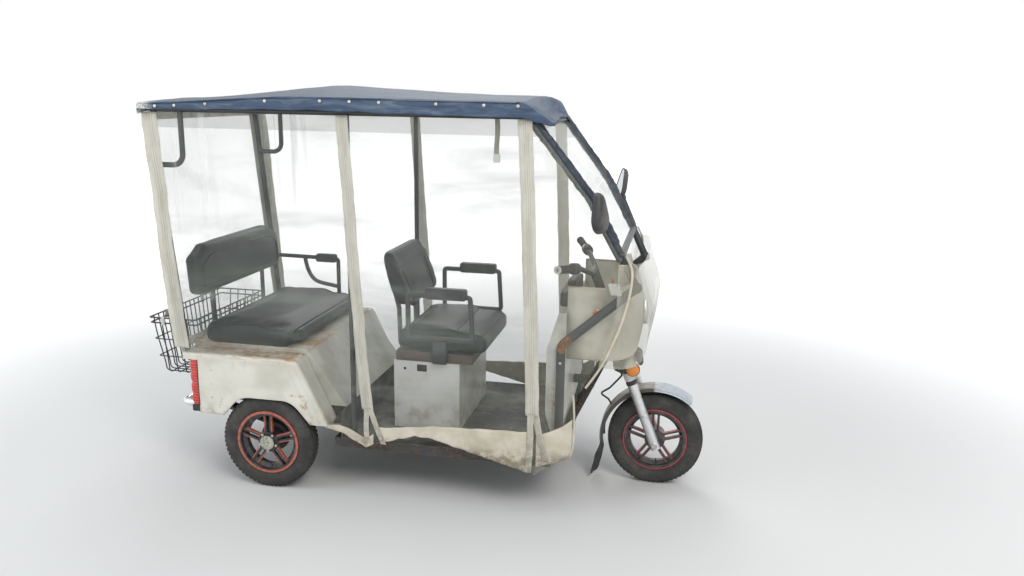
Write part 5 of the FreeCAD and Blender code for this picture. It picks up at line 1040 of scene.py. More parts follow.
pipeTrack = [(1488, 1036), (1494, 990), (1486, 918), (1460, 818), (1434, 738), (1396, 650)]
pipeSpots = [place(1468, -386, 1072)] + [pipePoint(*spot) for spot in pipeTrack]
pipeSpots += [place(1362, -398, 585), place(1334, -402, 545)]
cordTrack = [(1290, 520), (1294, 470), (1297, 424), (1298, 380), (1297, 320), (1293, 280), (1284, 258)]
cordSpots = [place(ahead, cornerY(ahead, height) - 3, height) for ahead, height in cordTrack]
piping = [rod("apron_piping", pipeSpots, 0.0052, hemCanvas), rod("corner_hem_cord", cordSpots, 0.0042, hemCanvas)]
for name, parts in (("seam_tapes", tapes), ("hem_bands", hems), ("film_piping", piping)):
    bothSides(name, joined(name + "_right", parts))


def rearBand(name, spread, columns, rows):  # a tape on the rear film; spread gives the film's shares
    lift = Vector((-0.0022, 0, 0))
    return sheetGrid(name, lambda s, t: rearPoint(*spread(s, t)) + lift, columns, rows, seamTape, True, 0.0012)


def acrossBand(centre, half):
    return rearBand("rear_band", lambda s, t: (0.004 + 0.992 * s, (centre - 584 + (2 * t - 1) * half) / 987), 70, 4)


def uprightBand(share):
    return rearBand("rear_side_band", lambda s, t: (share + (s - 0.5) * 0.04, 0.03 + 0.94 * t), 4, 70)


rearBands = [acrossBand(1552, 16), acrossBand(604, 18), uprightBand(0.022), uprightBand(0.978)]
joinedOn("seam_tapes_rear", rearBands)
print("tapes and hems made")

# rear basket: bent wires with a double rim
basket = {"pitch": 34, "wire": 2.7, "rim": 3.6, "back": -618, "front": -394, "top": 673, "half": 298, "foot": 410,
          "footHalf": 262, "lean": 24, "turn": 26}


def basketRing(height):
    up = (height - basket["foot"]) / (basket["top"] - basket["foot"])
    half = basket["footHalf"] + (basket["half"] - basket["footHalf"]) * up + 1
    back = basket["back"] + basket["lean"] * (1 - up) - 1
    front = basket["front"] + 1
    turn = basket["turn"]
    spots = []
    for ahead, left, towardAhead, towardLeft in ((back, -half, 1, 1), (front, -half, -1, 1), (front, half, -1, -1),
                                                 (back, half, 1, -1)):
        first, last = (ahead, left + towardLeft * turn), (ahead + towardAhead * turn, left)
        if (ahead == front) == (left < 0):
            first, last = last, first
        spots += [first, (ahead, left), last]
    return [place(ahead, left, height) for ahead, left in spots]


def basketWires():
    back, front, top, foot = (basket[key] for key in ("back", "front", "top", "foot"))
    half, footHalf, lowBack = basket["half"], basket["footHalf"], back + basket["lean"]
    count = int(2 * footHalf / basket["pitch"])
    runs = []
    for index in range(count + 1):
        share = 2 * index / count - 1
        high, low = share * (half - 30), share * (footHalf - 26)
        runs.append([(back, high, top), (back + 6, high, top - 70), (lowBack - 2, low, foot + 40), (lowBack, low, foot),
                     (lowBack + 40, low, foot), (front - 40, low, foot), (front, low, foot), (front, low, foot + 40),
                     (front, high, top)])
    for index in range(1, 5):
        ahead = back + 16 + (front - back - 20) * index / 5
        runs.append([(ahead, left, height) for left, height in (
            (-half, top), (-footHalf - 5, foot + 50), (-footHalf, foot), (-footHalf + 45, foot), (footHalf - 45, foot),
            (footHalf, foot), (footHalf + 5, foot + 50), (half, top))])
    return [[place(*spot) for spot in run] for run in runs]


def basketRims(name, heights, thick):
    return wires(name, [basketRing(height) for height in heights], thick / 1000, blackPaint, True)


def blocks(name, corners, *look):  # rounded boxes between pairs of corners in millimetres
    return [softBlock(name, place(*low), place(*high), *look) for low, high in corners]


basketParts = [wires("basket_uprights", basketWires(), basket["wire"] / 1000, blackPaint),
               basketRims("basket_rims", (basket["top"], basket["top"] - 24), basket["rim"]),
               basketRims("basket_hoops", (572, 490), basket["wire"])]
for left in (-150, 150):
    basketParts += blocks("basket_strap", [((-396, left - 14, 432), (-352, left + 14, 440)),
                                           ((-398, left - 14, 405), (-392, left + 14, 470))], blackPaint, 0.001, 1)
joinedOn("wire_basket", basketParts, "rear_basket")
clipCorners = [((ahead, -303, 640), (ahead + 16, -293, 678)) for ahead in (-560, -470)]
clipCorners += [((-624, left, 640), (-614, left + 18, 678)) for left in (-180, 120)]
joinedOn("basket_clips", blocks("basket_clip", clipCorners, shieldPlastic, 0.002, 2))
print("basket made")

# moulded quarter panels with a rolled shoulder and a raised lip round the arch
panel = {"face": -460, "shoulder": 16, "lip": 4.5, "lipReach": 34, "inner": -356, "wall": 0.003, "steps": 36,
         "round": 46}
archLine = [(-190, 314), (-113, 401), (121, 401), (201, 306)]
slopeRows = [(158, 554), (279, 306)]
panelTop = [(-297, 582), (128, 582), (140, 579), (150, 570), (158, 554), (279, 306)]


def softArch():  # the arch's outline with rounded corners, as (ahead, height) rows
    rows = archLine[:1]
    for before, spot, after in zip(archLine, archLine[1:], archLine[2:]):
        a, b, c = Vector(before), Vector(spot), Vector(after)
        start, end = (b + (far - b).normalized() * panel["round"] for far in (a, c))
        rows += [tuple(rounded(start, b, end, step / 8)) for step in range(9)]
    return rows + [archLine[-1], (279, 306)]


archRows = softArch()
panelFoot = [(-297, 314)] + archRows


def distanceToLine(ahead, height, rows):
    best = 1e9
    for start, end in zip(rows, rows[1:]):
        run, gap = Vector(end) - Vector(start), Vector((ahead - start[0], height - start[1]))
        share = limit(gap.dot(run) / max(run.length_squared, 1e-9))
        best = min(best, (gap - run * share).length)
    return best


def panelFace(ahead, height):
    lip = math.exp(-(distanceToLine(ahead, height, archRows) / panel["lipReach"]) ** 4)
    ridge = math.exp(-((distanceToLine(ahead, height, slopeRows) - 42) / 10) ** 2) * (1 if ahead > 60 else 0)
    crease = math.exp(-((height - 560) / 7) ** 2)
    belly = math.sin(math.pi * limit((height - 314) / 250))
    wear = ripple((ahead, height, 0), (0.01, 0.01, 1), 0.8, 3.0)
    return panel["face"] + 2.0 - 1.6 * belly - panel["lip"] * lip - 2.4 * ridge - 1.6 * crease + wear


def panelLine(ahead):  # from inside the foot up the face, round the shoulder and in
    foot, top = between(panelFoot, ahead), between(panelTop, ahead)
    start, tall = foot + 1, max(0.0, top - panel["shoulder"] - foot - 1)
    line = [(panelFace(ahead, foot) + 14, foot + 0.5), (panelFace(ahead, foot) + 2.5, foot)]
    for step in range(panel["steps"] + 1):
        height = start + tall * step / panel["steps"]
        line.append((panelFace(ahead, height), height))
    base = panelFace(ahead, max(start, top - panel["shoulder"]))
    roll = min(panel["shoulder"], max(1.0, top - foot))
    for step in range(1, 7):
        turn = step / 6 * math.pi / 2
        line.append((base + roll * (1 - math.cos(turn)), top - roll + roll * math.sin(turn)))
    for step in range(1, 9):
        line.append((base + roll + (panel["inner"] - base - roll) * step / 8, top - 2.0 * math.sin(math.pi * step / 8)))
    return [place(ahead, left, height) for left, height in line]


def panelSkin():
    stations = {-297, -296, -292, *range(-285, 280, 5), 279, *(int(spot[0]) for spot in archRows if spot[0] < 279)}
    rows = [panelLine(ahead) for ahead in sorted(stations)]
    faces = [(face[0], *face[:0:-1]) for face in gridFaces(len(rows[0]) - 1, len(rows) - 1)]
    return walled(addMesh("panel_skin", [spot for row in rows for spot in row], faces, gelcoat), panel["wall"], -1)


def plate(name, columns, rows, *corners):  # a flat plate between four corners
    a, b, c, d = (place(*spot) for spot in corners)
    return sheetGrid(name, lambda s, t: a.lerp(b, s).lerp(d.lerp(c, s), t), columns, rows, gelcoat, False,
                     panel["wall"])


def tailTop(share, along):  # the shoulder over the lamp, rolled over the side and the rear edge
    ahead = -372 + along * 76
    turn = share * 3
    rear = max(0.0, 1 - along * 5) ** 2 * 8
    if turn < 1:
        return place(ahead + rear, -458 + 1.0 * turn, 549 + 17 * turn)
    if turn < 2:
        bend = (turn - 1) * math.pi / 2
        return place(ahead + rear, -457 + 15 * (1 - math.cos(bend)), 566 + 15.5 * math.sin(bend) - rear * 0.4)
    return place(ahead + rear, -442 + 85 * (turn - 2), 581.5 - rear * 0.4)


panelParts = [
    panelSkin(),
    plate("panel_rear", 6, 12, (-298.5, -458, 316), (-298.5, -357, 316), (-298.5, -357, 548), (-298.5, -458, 548)),
    plate("panel_notch", 6, 6, (-370, -456, 549.5), (-298, -456, 549.5), (-298, -357, 549.5), (-370, -357, 549.5)),
    plate("panel_tail", 6, 4, (-371, -446, 549), (-371, -357, 549), (-371, -357, 578), (-371, -446, 578)),
    sheetGrid("panel_shoulder", tailTop, 24, 16, gelcoat, True, panel["wall"]),
]
bothSides("quarter_skin", joined("quarter_skin_right", panelParts), "quarter_panel_{}")
rivetSpots = [place(-212 + 3.2 * step, side * 459.5, 322 + 13 * step) for step in range(6) for side in sides]
rivetSpots += [place(-240 + 0.5 * step, side * 460.5, 330 + 60 * step) for step in range(4) for side in sides]
studs("panel_rivets", rivetSpots, 0.0032, 0.6)

# tail lamps: four stacked lobes in a dark tray
lamp = {"foot": 350, "top": 547, "lobes": 4, "depth": 42, "half": 22, "middle": -437, "seat": -299}


def lampPoint(around, up):
    height = lamp["foot"] + (lamp["top"] - lamp["foot"]) * up
    lobe = abs(math.sin(math.pi * up * lamp["lobes"])) ** 0.5
    end = min(1.0, min(up, 1 - up) * 14) ** 0.5
    depth = lamp["depth"] * (0.82 + 0.18 * lobe) * (0.75 + 0.25 * end)
    turn = math.pi * around
    across = -math.cos(turn)
    outward = math.copysign(abs(across) ** 0.55, across)
    left = lamp["middle"] - lamp["half"] * outward * (0.94 + 0.06 * lobe)
    return place(lamp["seat"] - depth * math.sin(turn) ** 0.55, left, height)


lampParts = [facesOut(sheetGrid("lamp_lobes", lampPoint, 22, 72, redLens), True),
             softBlock("lamp_tray", place(-303, -459.5, 348), place(-297.6, -414, 549), blackPlastic, 0.0015, 2)]
bothSides("tail_lamp", joined("tail_lamp_right", lampParts), "tail_lamps")
lampFoot = softBlock("lamp_foot_right", place(-340, -452, 316), place(-299, -418, 346), blackPlastic, 0.004, 3)
bothSides("lamp_foot", lampFoot)
plugs = [disc("bumper_cap", place(-330, side * 400, 334), (1, 0, 0), 0.0165, 0.004, zinc, 20, 0.001) for side in sides]
joinedOn("bumper_caps", plugs)
print("rear body made")

# cushions
stuffing = {"voxel": 0.0075, "frames": 20, "smoothing": 3, "puff": 0.85}
clothValues = {"quality": 4, "mass": 0.3, "tension_stiffness": 12, "compression_stiffness": 12,
               "bending_stiffness": 1.5, "use_pressure": True, "uniform_pressure_force": 4.0,
               "vertex_group_mass": "seams"}


def swollen(item, pinned, cap):  # blown up as cloth between its pinned seams; no point moves by more than the cap
    start = [vert.co.copy() for vert in item.data.vertices]
    group = item.vertex_groups.new(name="seams")
    for index, spot in enumerate(start):
        strength = pinned(spot)
        if strength > 0:
            group.add([index], strength, "REPLACE")
    cloth = item.modifiers.new("swell", "CLOTH")
    for label, value in clothValues.items():
        setattr(cloth.settings, label, value)
    cloth.settings.effector_weights.gravity = 0
    cloth.point_cache.frame_start = 1
    cloth.point_cache.frame_end = stuffing["frames"]
    for step in range(1, stuffing["frames"] + 1):
        bpy.context.scene.frame_set(step)
    moved = item.evaluated_get(bpy.context.evaluated_depsgraph_get())
    ends = [vert.co.copy() for vert in moved.data.vertices]
    item.modifiers.clear()
    item.vertex_groups.clear()
    bpy.context.scene.frame_set(1)
    for vert, before, after in zip(item.data.vertices, start, ends):
        shift = after - before
        if shift.length > cap:
            shift *= cap / shift.length
        vert.co = before + shift


def stuffed(item, pinned, cap):
    remesh = item.modifiers.new("even", "REMESH")
    remesh.mode = "VOXEL"
    remesh.voxel_size = stuffing["voxel"]
    applyAll(item)
    swollen(item, pinned, cap)
    mesh = bmesh.new()
    mesh.from_mesh(item.data)
    for _ in range(stuffing["smoothing"]):
        bmesh.ops.smooth_vert(mesh, verts=mesh.verts[:], factor=0.5, use_axis_x=True, use_axis_y=True, use_axis_z=True)
    mesh.to_mesh(item.data)
    mesh.free()
    item.modifiers.new("smooth", "SUBSURF").levels = 1
    applyAll(item)
    item.data.polygons.foreach_set("use_smooth", [True] * len(item.data.polygons))
    return item


def padBlock(name, spec, edge, shape):  # a rounded slab, leaned back over its height
    low, high = spec["low"], spec["high"]
    mesh = bmesh.new()
    bmesh.ops.create_cube(mesh, size=1)
    bmesh.ops.subdivide_edges(mesh, edges=mesh.edges[:], cuts=7, use_grid_fill=True)
    for vert in mesh.verts:
        unit = vert.co + Vector((0.5, 0.5, 0.5))
        spot = Vector([low[axis] + unit[axis] * (high[axis] - low[axis]) for axis in range(3)])
        spot.x -= spec["lean"] * unit.z
        vert.co = shape(unit, spot)
    sharp = [rim for rim in mesh.edges if len(rim.link_faces) == 2 and rim.calc_face_angle() > 1.0]
    bmesh.ops.bevel(mesh, geom=sharp, offset=edge, segments=4, affect="EDGES", profile=0.5)
    return inScene(name, mesh, seatBlack)


rearBack = {"low": place(-379, -370, 802), "high": place(-312, 370, 1012), "lean": 0.010, "cap": 0.011}
rearBase = {"low": place(-313, -366, 601), "high": place(98, 366, 692), "lean": 0.0, "cap": 0.012}
driverBack = {"low": place(493, -223, 757), "high": place(554, 223, 998), "lean": 0.062, "cap": 0.012}
driverBase = {"low": place(511, -233, 591), "high": place(892, 233, 682), "lean": 0.0, "cap": 0.012}
seam = {"half": 0.005, "hold": 0.9, "inset": 0.012, "across": 0.66, "bolster": 0.150, "band": 0.062}


def rearBackPins(spot):  # the welt runs inside the front face, and the back lies on its board
    low, high = rearBack["low"], rearBack["high"]
    rise = (spot.z - low.z) / (high.z - low.z)
    sideGap = high.y - abs(spot.y)
    if spot.x < low.x + 0.018 - rearBack["lean"] * rise:
        return 1.0
    roundTop = 0.045 * smoothStep(abs(spot.y) / high.y, 0.80, 1.0)
    welt = min(abs(sideGap - 0.034), abs(spot.z - low.z - 0.030), abs(high.z - roundTop - 0.042 - spot.z))
    inside = sideGap > 0.030 and low.z + 0.026 < spot.z < high.z - 0.038
    return seam["hold"] if welt < seam["half"] and inside else 0.0


def rearBackShape(unit, spot):
    spot.z -= 0.045 * smoothStep(2 * abs(unit.y - 0.5), 0.80, 1.0) * unit.z ** 2
    return spot


def basePins(spec, front):  # held underneath, along the band round the top, and at the front seam
    low, high = spec["low"], spec["high"]
    seamX = low.x + seam["across"] * (high.x - low.x)

    def test(spot):
        if spot.z < low.z + seam["inset"]:
            return 1.0
        edge = min(high.x - spot.x, spot.x - low.x, high.y - abs(spot.y))
        if edge < seam["inset"] and abs(spot.z - (high.z - 0.030)) < seam["half"]:
            return seam["hold"]
        return 0.85 if front and abs(spot.x - seamX) < seam["half"] and spot.z > high.z - 0.03 else 0.0
    return test


def driverBackPins(spot):
    low, high = driverBack["low"], driverBack["high"]
    rise = (spot.z - low.z) / (high.z - low.z)
    if spot.x < low.x - driverBack["lean"] * rise + 0.030:
        return 1.0
    bolster = abs(abs(spot.y) - seam["bolster"] - 0.01 * rise)
    return seam["hold"] if bolster < seam["half"] or abs(spot.z - high.z + seam["band"]) < seam["half"] else 0.0


def driverBackShape(unit, spot):
    bolster = smoothStep(abs(unit.y - 0.5), 0.30, 0.42) * (0.4 + 0.6 * (1 - unit.z))
    spot.x += (0.012 * bolster - 0.016 * smoothStep(unit.z, 0.3, 1.0)) * unit.x
    spot.y *= 1 - 0.10 * smoothStep(unit.z, 0.72, 1.0) - 0.06 * smoothStep(1 - unit.z, 0.75, 1.0)
    spot.z += 0.022 * smoothStep(2 * abs(unit.y - 0.5), 0.4, 1.0) * (1 - unit.z) ** 2
    return spot


def driverBaseShape(unit, spot):
    spot.y *= 1 - 0.06 * smoothStep(1 - unit.x, 0.7, 1.0)
    spot.z += 0.006 * smoothStep(abs(unit.y - 0.5), 0.3, 0.45) * unit.z - 0.022 * smoothStep(unit.x, 0.72, 1.0) * unit.z
    return spot


def benchShape(unit, spot):  # the front edge rolls down
    spot.z -= 0.026 * smoothStep(unit.x, 0.72, 1.0) * unit.z
    spot.x -= 0.030 * smoothStep(2 * abs(unit.y - 0.5), 0.80, 1.0) * unit.x ** 2
    return spot


padRows = (("rear_backrest_pad", "rear_seat_backrest", rearBack, 0.024, rearBackPins, rearBackShape),
           ("rear_bench_pad", "rear_seat_cushion", rearBase, 0.026, basePins(rearBase, False), benchShape),
           ("driver_backrest_pad", "driver_seat_backrest", driverBack, 0.022, driverBackPins, driverBackShape),
           ("driver_seat_pad", "driver_seat_cushion", driverBase, 0.026, basePins(driverBase, True), driverBaseShape))
padding = [stuffed(padBlock(name, spec, edge, shape), pins, spec["cap"])
           for name, _, spec, edge, pins, shape in padRows]
for item, row in zip(padding, padRows):
    onBody(item, row[1])
print("pads made")


def weltOn(item, route, direction, radius, closed=False, step=0.012):  # a welt that follows a pad's surface
    points = []
    for first, last in zip(route, route[1:] + (route[:1] if closed else [])):
        count = max(2, int((last - first).length / step))
        for index in range(count):
            hit, spot, normal, _ = item.ray_cast(first.lerp(last, index / count) - direction * 0.2, direction)
            if hit:
                points.append(spot + normal * radius * (1 - 0.3))
    return wires("welt", [points], radius, seatBlack, closed)


rearBackPad, benchPad, driverBackPad, driverPad = padding
backward, downward = Vector((-1, 0, 0)), Vector((0, 0, -1))
backLow, backHigh = rearBack["low"], rearBack["high"]
backCorners = ((0.044, 0.030, 0), (0.034, 0.045, 0), (0.034, 0.100, 1), (0.044, 0.084, 1), (0.062, 0.068, 1),
               (0.100, 0.050, 1), (0.150, 0.043, 1))
backRoute = [Vector((backHigh.x, side * (backHigh.y - gap), backHigh.z - rise if fromTop else backLow.z + rise))
             for side in sides for gap, rise, fromTop in backCorners[::-side]]
welts = [weltOn(rearBackPad, backRoute, backward, 0.0034, True)]
frontX, driverTop, driverFoot = driverBack["high"].x, driverBack["high"].z, driverBack["low"].z
for left in (-0.152, 0.152):
    route = [Vector((frontX, left, driverFoot + 0.030)), Vector((frontX - 0.05, left * 1.05, driverTop - 0.065))]
    welts.append(weltOn(driverBackPad, route, backward, 0.0024))
bandZ = driverTop - seam["band"]
seamX = driverBase["low"].x + seam["across"] * (driverBase["high"].x - driverBase["low"].x)
welts.append(weltOn(driverBackPad, [Vector((frontX, left, bandZ)) for left in (-0.195, 0.195)], backward, 0.0026))
welts.append(weltOn(driverPad, [Vector((seamX, left, 0.72)) for left in (-0.195, 0.195)], downward, 0.0024))
for spec, item in ((rearBase, benchPad), (driverBase, driverPad)):
    low, high = spec["low"] + Vector((0.022, 0.020, 0)), spec["high"] - Vector((0.022, 0.020, 0))
    ring = [Vector((*spot, 1)) for spot in ((low.x, low.y), (high.x, low.y), (high.x, high.y), (low.x, high.y))]
    welts.append(weltOn(item, ring, downward, 0.0028, True, 0.02))
joinedOn("seat_welts", welts)
print("seats made")

# wheels
tread = {"blocks": 62, "depth": 0.0025, "pitchRadius": 0.2035, "sides": 96}
wheelPlaces = (("rear_right", -0.415, rearAxleX, "rear_right_wheel"),
               ("rear_left", 0.415, rearAxleX, "rear_left_wheel"), ("front", 0.0, frontAxleX, "front_wheel"))
carcassRows = [(-0.0295, 0.1288), (-0.0298, 0.1375), (-0.0330, 0.1420), (-0.0372, 0.1520), (-0.0395, 0.1640),
               (-0.0399, 0.1700), (-0.0389, 0.1790), (-0.0372, 0.1835), (-0.0374, 0.1850), (-0.0355, 0.1895),
               (-0.0310, 0.1962), (-0.0270, 0.1996), (-0.0180, 0.2013), (-0.0075, 0.2022)]
carcassRows += [(-left, radius) for left, radius in reversed(carcassRows)] + [(0.0150, 0.1284), (-0.0150, 0.1284)]
blockRows = [(-0.0262, 0.0095, 0.2008, -0.25), (-0.0148, 0.0085, 0.2022, 0.25), (-0.0042, 0.0080, 0.2027, -0.1),
             (0.0065, 0.0085, 0.2027, 0.3), (0.0168, 0.0085, 0.2021, -0.25), (0.0264, 0.0090, 0.2007, 0.2)]


def treadUnit():  # one pitch of small blocks, out along +Z from the wheel's centre
    mesh = bmesh.new()
    pitch = 2 * math.pi * tread["pitchRadius"] / tread["blocks"]
    for left, wide, radius, slide in blockRows:
        for vert in bmesh.ops.create_cube(mesh, size=1)["verts"]:
            top = vert.co.z > 0
            long, width = (pitch * 0.62, wide * 0.84) if top else (pitch * 0.74, wide)
            fall = abs(vert.co.y * width) * abs(0.10 * left / 0.03)
            rise = tread["depth"] - abs(left) * 0.03 if top else -0.003
            vert.co = (vert.co.x * long + slide * pitch, left + vert.co.y * width, radius + rise - fall)
    return inScene("tread_blocks", mesh, tyreRubber)


def carcassAt(centre):
    count = tread["sides"]
    turns = [2 * math.pi * step / count for step in range(count)]
    points = [(radius * math.sin(turn), left, radius * math.cos(turn))
              for left, radius in carcassRows for turn in turns]
    rings = [list(range(row * count, row * count + count)) for row in range(len(carcassRows))]
    item = facesOut(addMesh("carcass", points, ringFaces(rings, True), tyreRubber))
    item.data.transform(Matrix.Translation(centre))
    return item


capRows = softTurn([(0, 0.0), (0, 0.0315), (0.004, 0.0310), (0.0075, 0.0250), (0.0085, 0.0135), (0.0068, 0.0115),
                    (0.0068, 0.0)])
for label, left, ahead, body in wheelPlaces:
    centre = Vector((ahead, left, wheelRadius))
    blockRing = runTree(treadUnit(), ringTree, Count=tread["blocks"], Centre=tuple(centre), Material=tyreRubber)
    joinedOn(label + "_tyre_tread", [carcassAt(centre), blockRing], label + "_tyre", body)
    if label != "front":
        outward = -1 if left < 0 else 1
        hubFace = left + outward * 0.031
        capSeat = (ahead, hubFace + outward * 0.0092, wheelRadius)
        hubParts = [turned("hub_cap", capSeat, (0, outward, 0), capRows, capGrey)]
        for turn in [2 * math.pi * (step + 0.5) / 5 for step in range(5)]:
            spot = (ahead + 0.038 * math.sin(turn), hubFace + outward * 0.0035, wheelRadius + 0.038 * math.cos(turn))
            hubParts.append(disc("wheel_nut", spot, (0, 1, 0), 0.0062, 0.007, zinc, 6, 0.0008))
        joinedOn(label + "_hub_parts", hubParts, None, body)
    stem = [centre + Vector(spot)
            for spot in ((0.012, -0.024, -0.112), (0.010, -0.030, -0.098), (0.008, -0.036, -0.086))]
    onBody(rod(label + "_valve", stem, 0.0026, darkRubber, False), None, body)
print("wheels made")

# front end
nose = {"rear": 1241.5, "half": 302.5, "power": 0.42, "side": 0.60, "foot": 629, "tall": 295}
noseFront = [(628, 1512), (700, 1526), (765, 1529.5), (850, 1516), (925, 1490)]


def smoothBetween(table, value):  # a curve through the rows
    index = next((spot for spot in range(len(table) - 2) if value <= table[spot + 1][0]), len(table) - 2)
    (x0, y0), (x1, y1) = table[index], table[index + 1]
    before, after = table[max(0, index - 1)], table[min(len(table) - 1, index + 2)]
    share = limit((value - x0) / (x1 - x0))
    slope0 = (y1 - before[1]) / (x1 - before[0]) * (x1 - x0)
    slope1 = (after[1] - y0) / (after[0] - x0) * (x1 - x0)
    return ((2 * share ** 3 - 3 * share ** 2 + 1) * y0 + (share ** 3 - 2 * share ** 2 + share) * slope0
            + (3 * share ** 2 - 2 * share ** 3) * y1 + (share ** 3 - share ** 2) * slope1)


def nosePoint(around, up, inset=0.0):
    turn = (around - 0.5) * math.pi
    height = nose["foot"] + nose["tall"] * up
    front = smoothBetween(noseFront, height) - inset
    swage = 3.0 * math.exp(-((height - 700) / 9) ** 2) + 2.5 * math.exp(-((height - 880) / 8) ** 2)
    left = math.copysign(abs(math.sin(turn)) ** nose["side"], math.sin(turn)) * (nose["half"] - inset)
    return place(nose["rear"] + (front - swage - nose["rear"]) * abs(math.cos(turn)) ** nose["power"], left, height)


fairing = [sheetGrid("nose_skin", nosePoint, 72, 40, noseGelcoat, False, 0.0035)]
fairing += [rod("nose_rim", [nosePoint(step / 40, up, 1.5) for step in range(41)], 0.0032, noseGelcoat)
            for up in (0.004, 0.996)]
joinedOn("nose_fairing", fairing, "front_fairing")
lampFace = place(1530.6, 0, 765)
glassRows = softTurn([(0.0, 0.0), (0.0, 0.0450), (0.010, 0.0455), (0.0135, 0.038), (0.0162, 0.024), (0.0175, 0.0)],
                     0.003)
ringRows = softTurn([(0.0, 0.0458), (0.0, 0.0515), (0.0105, 0.0518), (0.0140, 0.0490), (0.0135, 0.0458), (0.0, 0.0458)])
headlamp = [turned("headlamp_glass", lampFace, (1, 0, 0), glassRows, clearLens, 40),
            turned("headlamp_ring", lampFace, (1, 0, 0), ringRows, chrome, 40)]
joinedOn("headlamp_lens", headlamp, "headlamp")
reflectorRows = softTurn([(0.0, 0.0), (0.0, 0.017), (0.004, 0.017), (0.0062, 0.011), (0.0070, 0.0)])
reflector = turned("side_reflector", nosePoint(0.04, 0.66) + Vector((0, 0.001, 0)), (0.25, -1, 0), reflectorRows,
                   orangeLens, 24)
joinedOn("side_reflectors", [reflector, mirrorCopy(reflector, "side_reflector_left")])


def block(name, low, high, *look):  # a rounded box between two places in millimetres
    return softBlock(name, place(*low), place(*high), *look)


dashParts = [block("dash_top", (1196.5, -204.5, 815.6), (1244.5, 204.5, 877), greyPlastic, 0.010, 4),
             block("gauge_pod", (1205, -58, 874), (1238, 58, 896), blackPlastic, 0.008, 4, 0.25),
             block("gauge_face", (1203.4, -46, 880), (1206.2, 46, 892), greyPlastic, 0.001, 2, 0.25)]
joinedOn("dash_moulding", dashParts, "dash_panel")
shieldEdge = [(1212, 815), (1166, 658), (1166, 400)]
beadRuns = [[place(ahead, side * 310.5, height) for ahead, height in shieldEdge] for side in sides]
beadRuns.append([place(1238, side * 310, 815) for side in sides])
joinedOn("shield_beads", [rod("shield_bead", run, 0.0035, shieldPlastic, False) for run in beadRuns])
tagLeft = 338
joinedOn("guard_tags", [block("guard_tag", (1415, side * tagLeft - 21, 911), (1458, side * tagLeft + 21, 951),
                              shieldPlastic, 0.004, 3, -0.35) for side in sides])

# mirrors: a teardrop shell, a glass facing back and a bent arm
mirror = {"low": 0.048, "high": 0.025, "tall": 0.150, "yaw": 0.40, "tip": {-1: -0.12, 1: 0.20}, "sides": 48,
          "middle": -0.006}
mirrorRows = [(-0.0145, 0.93), (-0.0165, 0.95), (-0.0165, 1.0), (-0.0120, 1.0), (-0.002, 0.975), (0.006, 0.90),
              (0.0115, 0.76), (0.0150, 0.55), (0.0165, 0.28), (0.0168, 0.0)]


def teardrop(turn, scale):
    lowCentre = mirror["low"] - mirror["tall"] / 2
    highCentre = mirror["tall"] / 2 - mirror["high"]
    lean = math.asin((mirror["low"] - mirror["high"]) / (highCentre - lowCentre))
    across, rise = math.sin(turn), math.cos(turn)
    upper = math.atan2(rise, abs(across)) > lean
    centre, radius = (highCentre, mirror["high"]) if upper else (lowCentre, mirror["low"])
    return across * radius * scale, (centre + rise * radius) * scale + mirror["middle"] * (1 - scale)


def mirrorHead(side):
    turns = [2 * math.pi * step / mirror["sides"] for step in range(mirror["sides"])]
    points, rings = [], []
    for depth, scale in mirrorRows:
        ring = [(depth, *teardrop(turn, scale)) for turn in turns] if scale else [(depth, 0, mirror["middle"])]
        rings.append(list(range(len(points), len(points) + len(ring))))
        points += ring
    item = facesOut(addMesh("mirror_shell", points, ringFaces(rings) + [tuple(rings[0])], blackPlastic, 4))
    item.data.materials.append(mirrorGlass)
    for face in item.data.polygons:
        face.material_index = 1 if len(face.vertices) > 4 else 0
    turn = Matrix.Rotation(side * mirror["yaw"], 4, "Z") @ Matrix.Rotation(mirror["tip"][side], 4, "Y")
    item.data.transform(Matrix.Translation(place(1381, side * 526, 1250)) @ turn)
    return item


mirrorArm = [(1449, 377, 1066), (1449, 440, 1066), (1449, 474, 1068), (1440, 486, 1085), (1412, 508, 1140),
             (1384, 525, 1196)]
mirrorParts = []
for side in sides:
    arm = [place(ahead, side * left, height) for ahead, left, height in mirrorArm]
    mirrorParts += [mirrorHead(side), rod("mirror_arm", arm, 0.0068, blackPlastic),
                    disc("mirror_knuckle", place(1385, side * 524, 1192), (-0.35, side * 0.25, 0.9), 0.012, 0.026,
                         blackPlastic, 20, 0.003),
                    disc("mirror_mount", place(1449, side * 386, 1066), (0, 1, 0), 0.015, 0.022, blackPlastic, 20,
                         0.003)]
joinedOn("mirror_pair", mirrorParts, "mirrors")

# handlebar fittings
grip = {"ribs": 13, "first": 0.010, "pitch": 0.0075, "rib": 0.0162, "groove": 0.0148, "switch": 0.0463, "end": 0.004}
endRows = softTurn([(0.0, 0.0115), (0.0, 0.0168), (0.003, 0.0168), (0.0046, 0.0150), (0.0046, 0.0075), (0.0030, 0.0066),
                    (0.0030, 0.0)], 0.0006)
switchRows = softTurn([(0.0, 0.0116), (0.0, 0.0225), (0.020, 0.0236), (0.0455, 0.0225), (0.0455, 0.0116)], 0.004)


def gripRows(length):
    rows = [(0.0, 0.0116), (0.0, 0.0168), (0.004, 0.0170), (0.006, 0.0150)]
    for step in range(grip["ribs"]):
        along = grip["first"] + step * grip["pitch"]
        rows += [(along, grip["groove"]), (along + 0.0012, grip["rib"]), (along + 0.0045, grip["rib"]),
                 (along + 0.0057, grip["groove"])]
    return rows + [(length - 0.010, grip["groove"]), (length - 0.009, 0.0168), (length - grip["end"], 0.0170),
                   (length - grip["end"], 0.0116)]


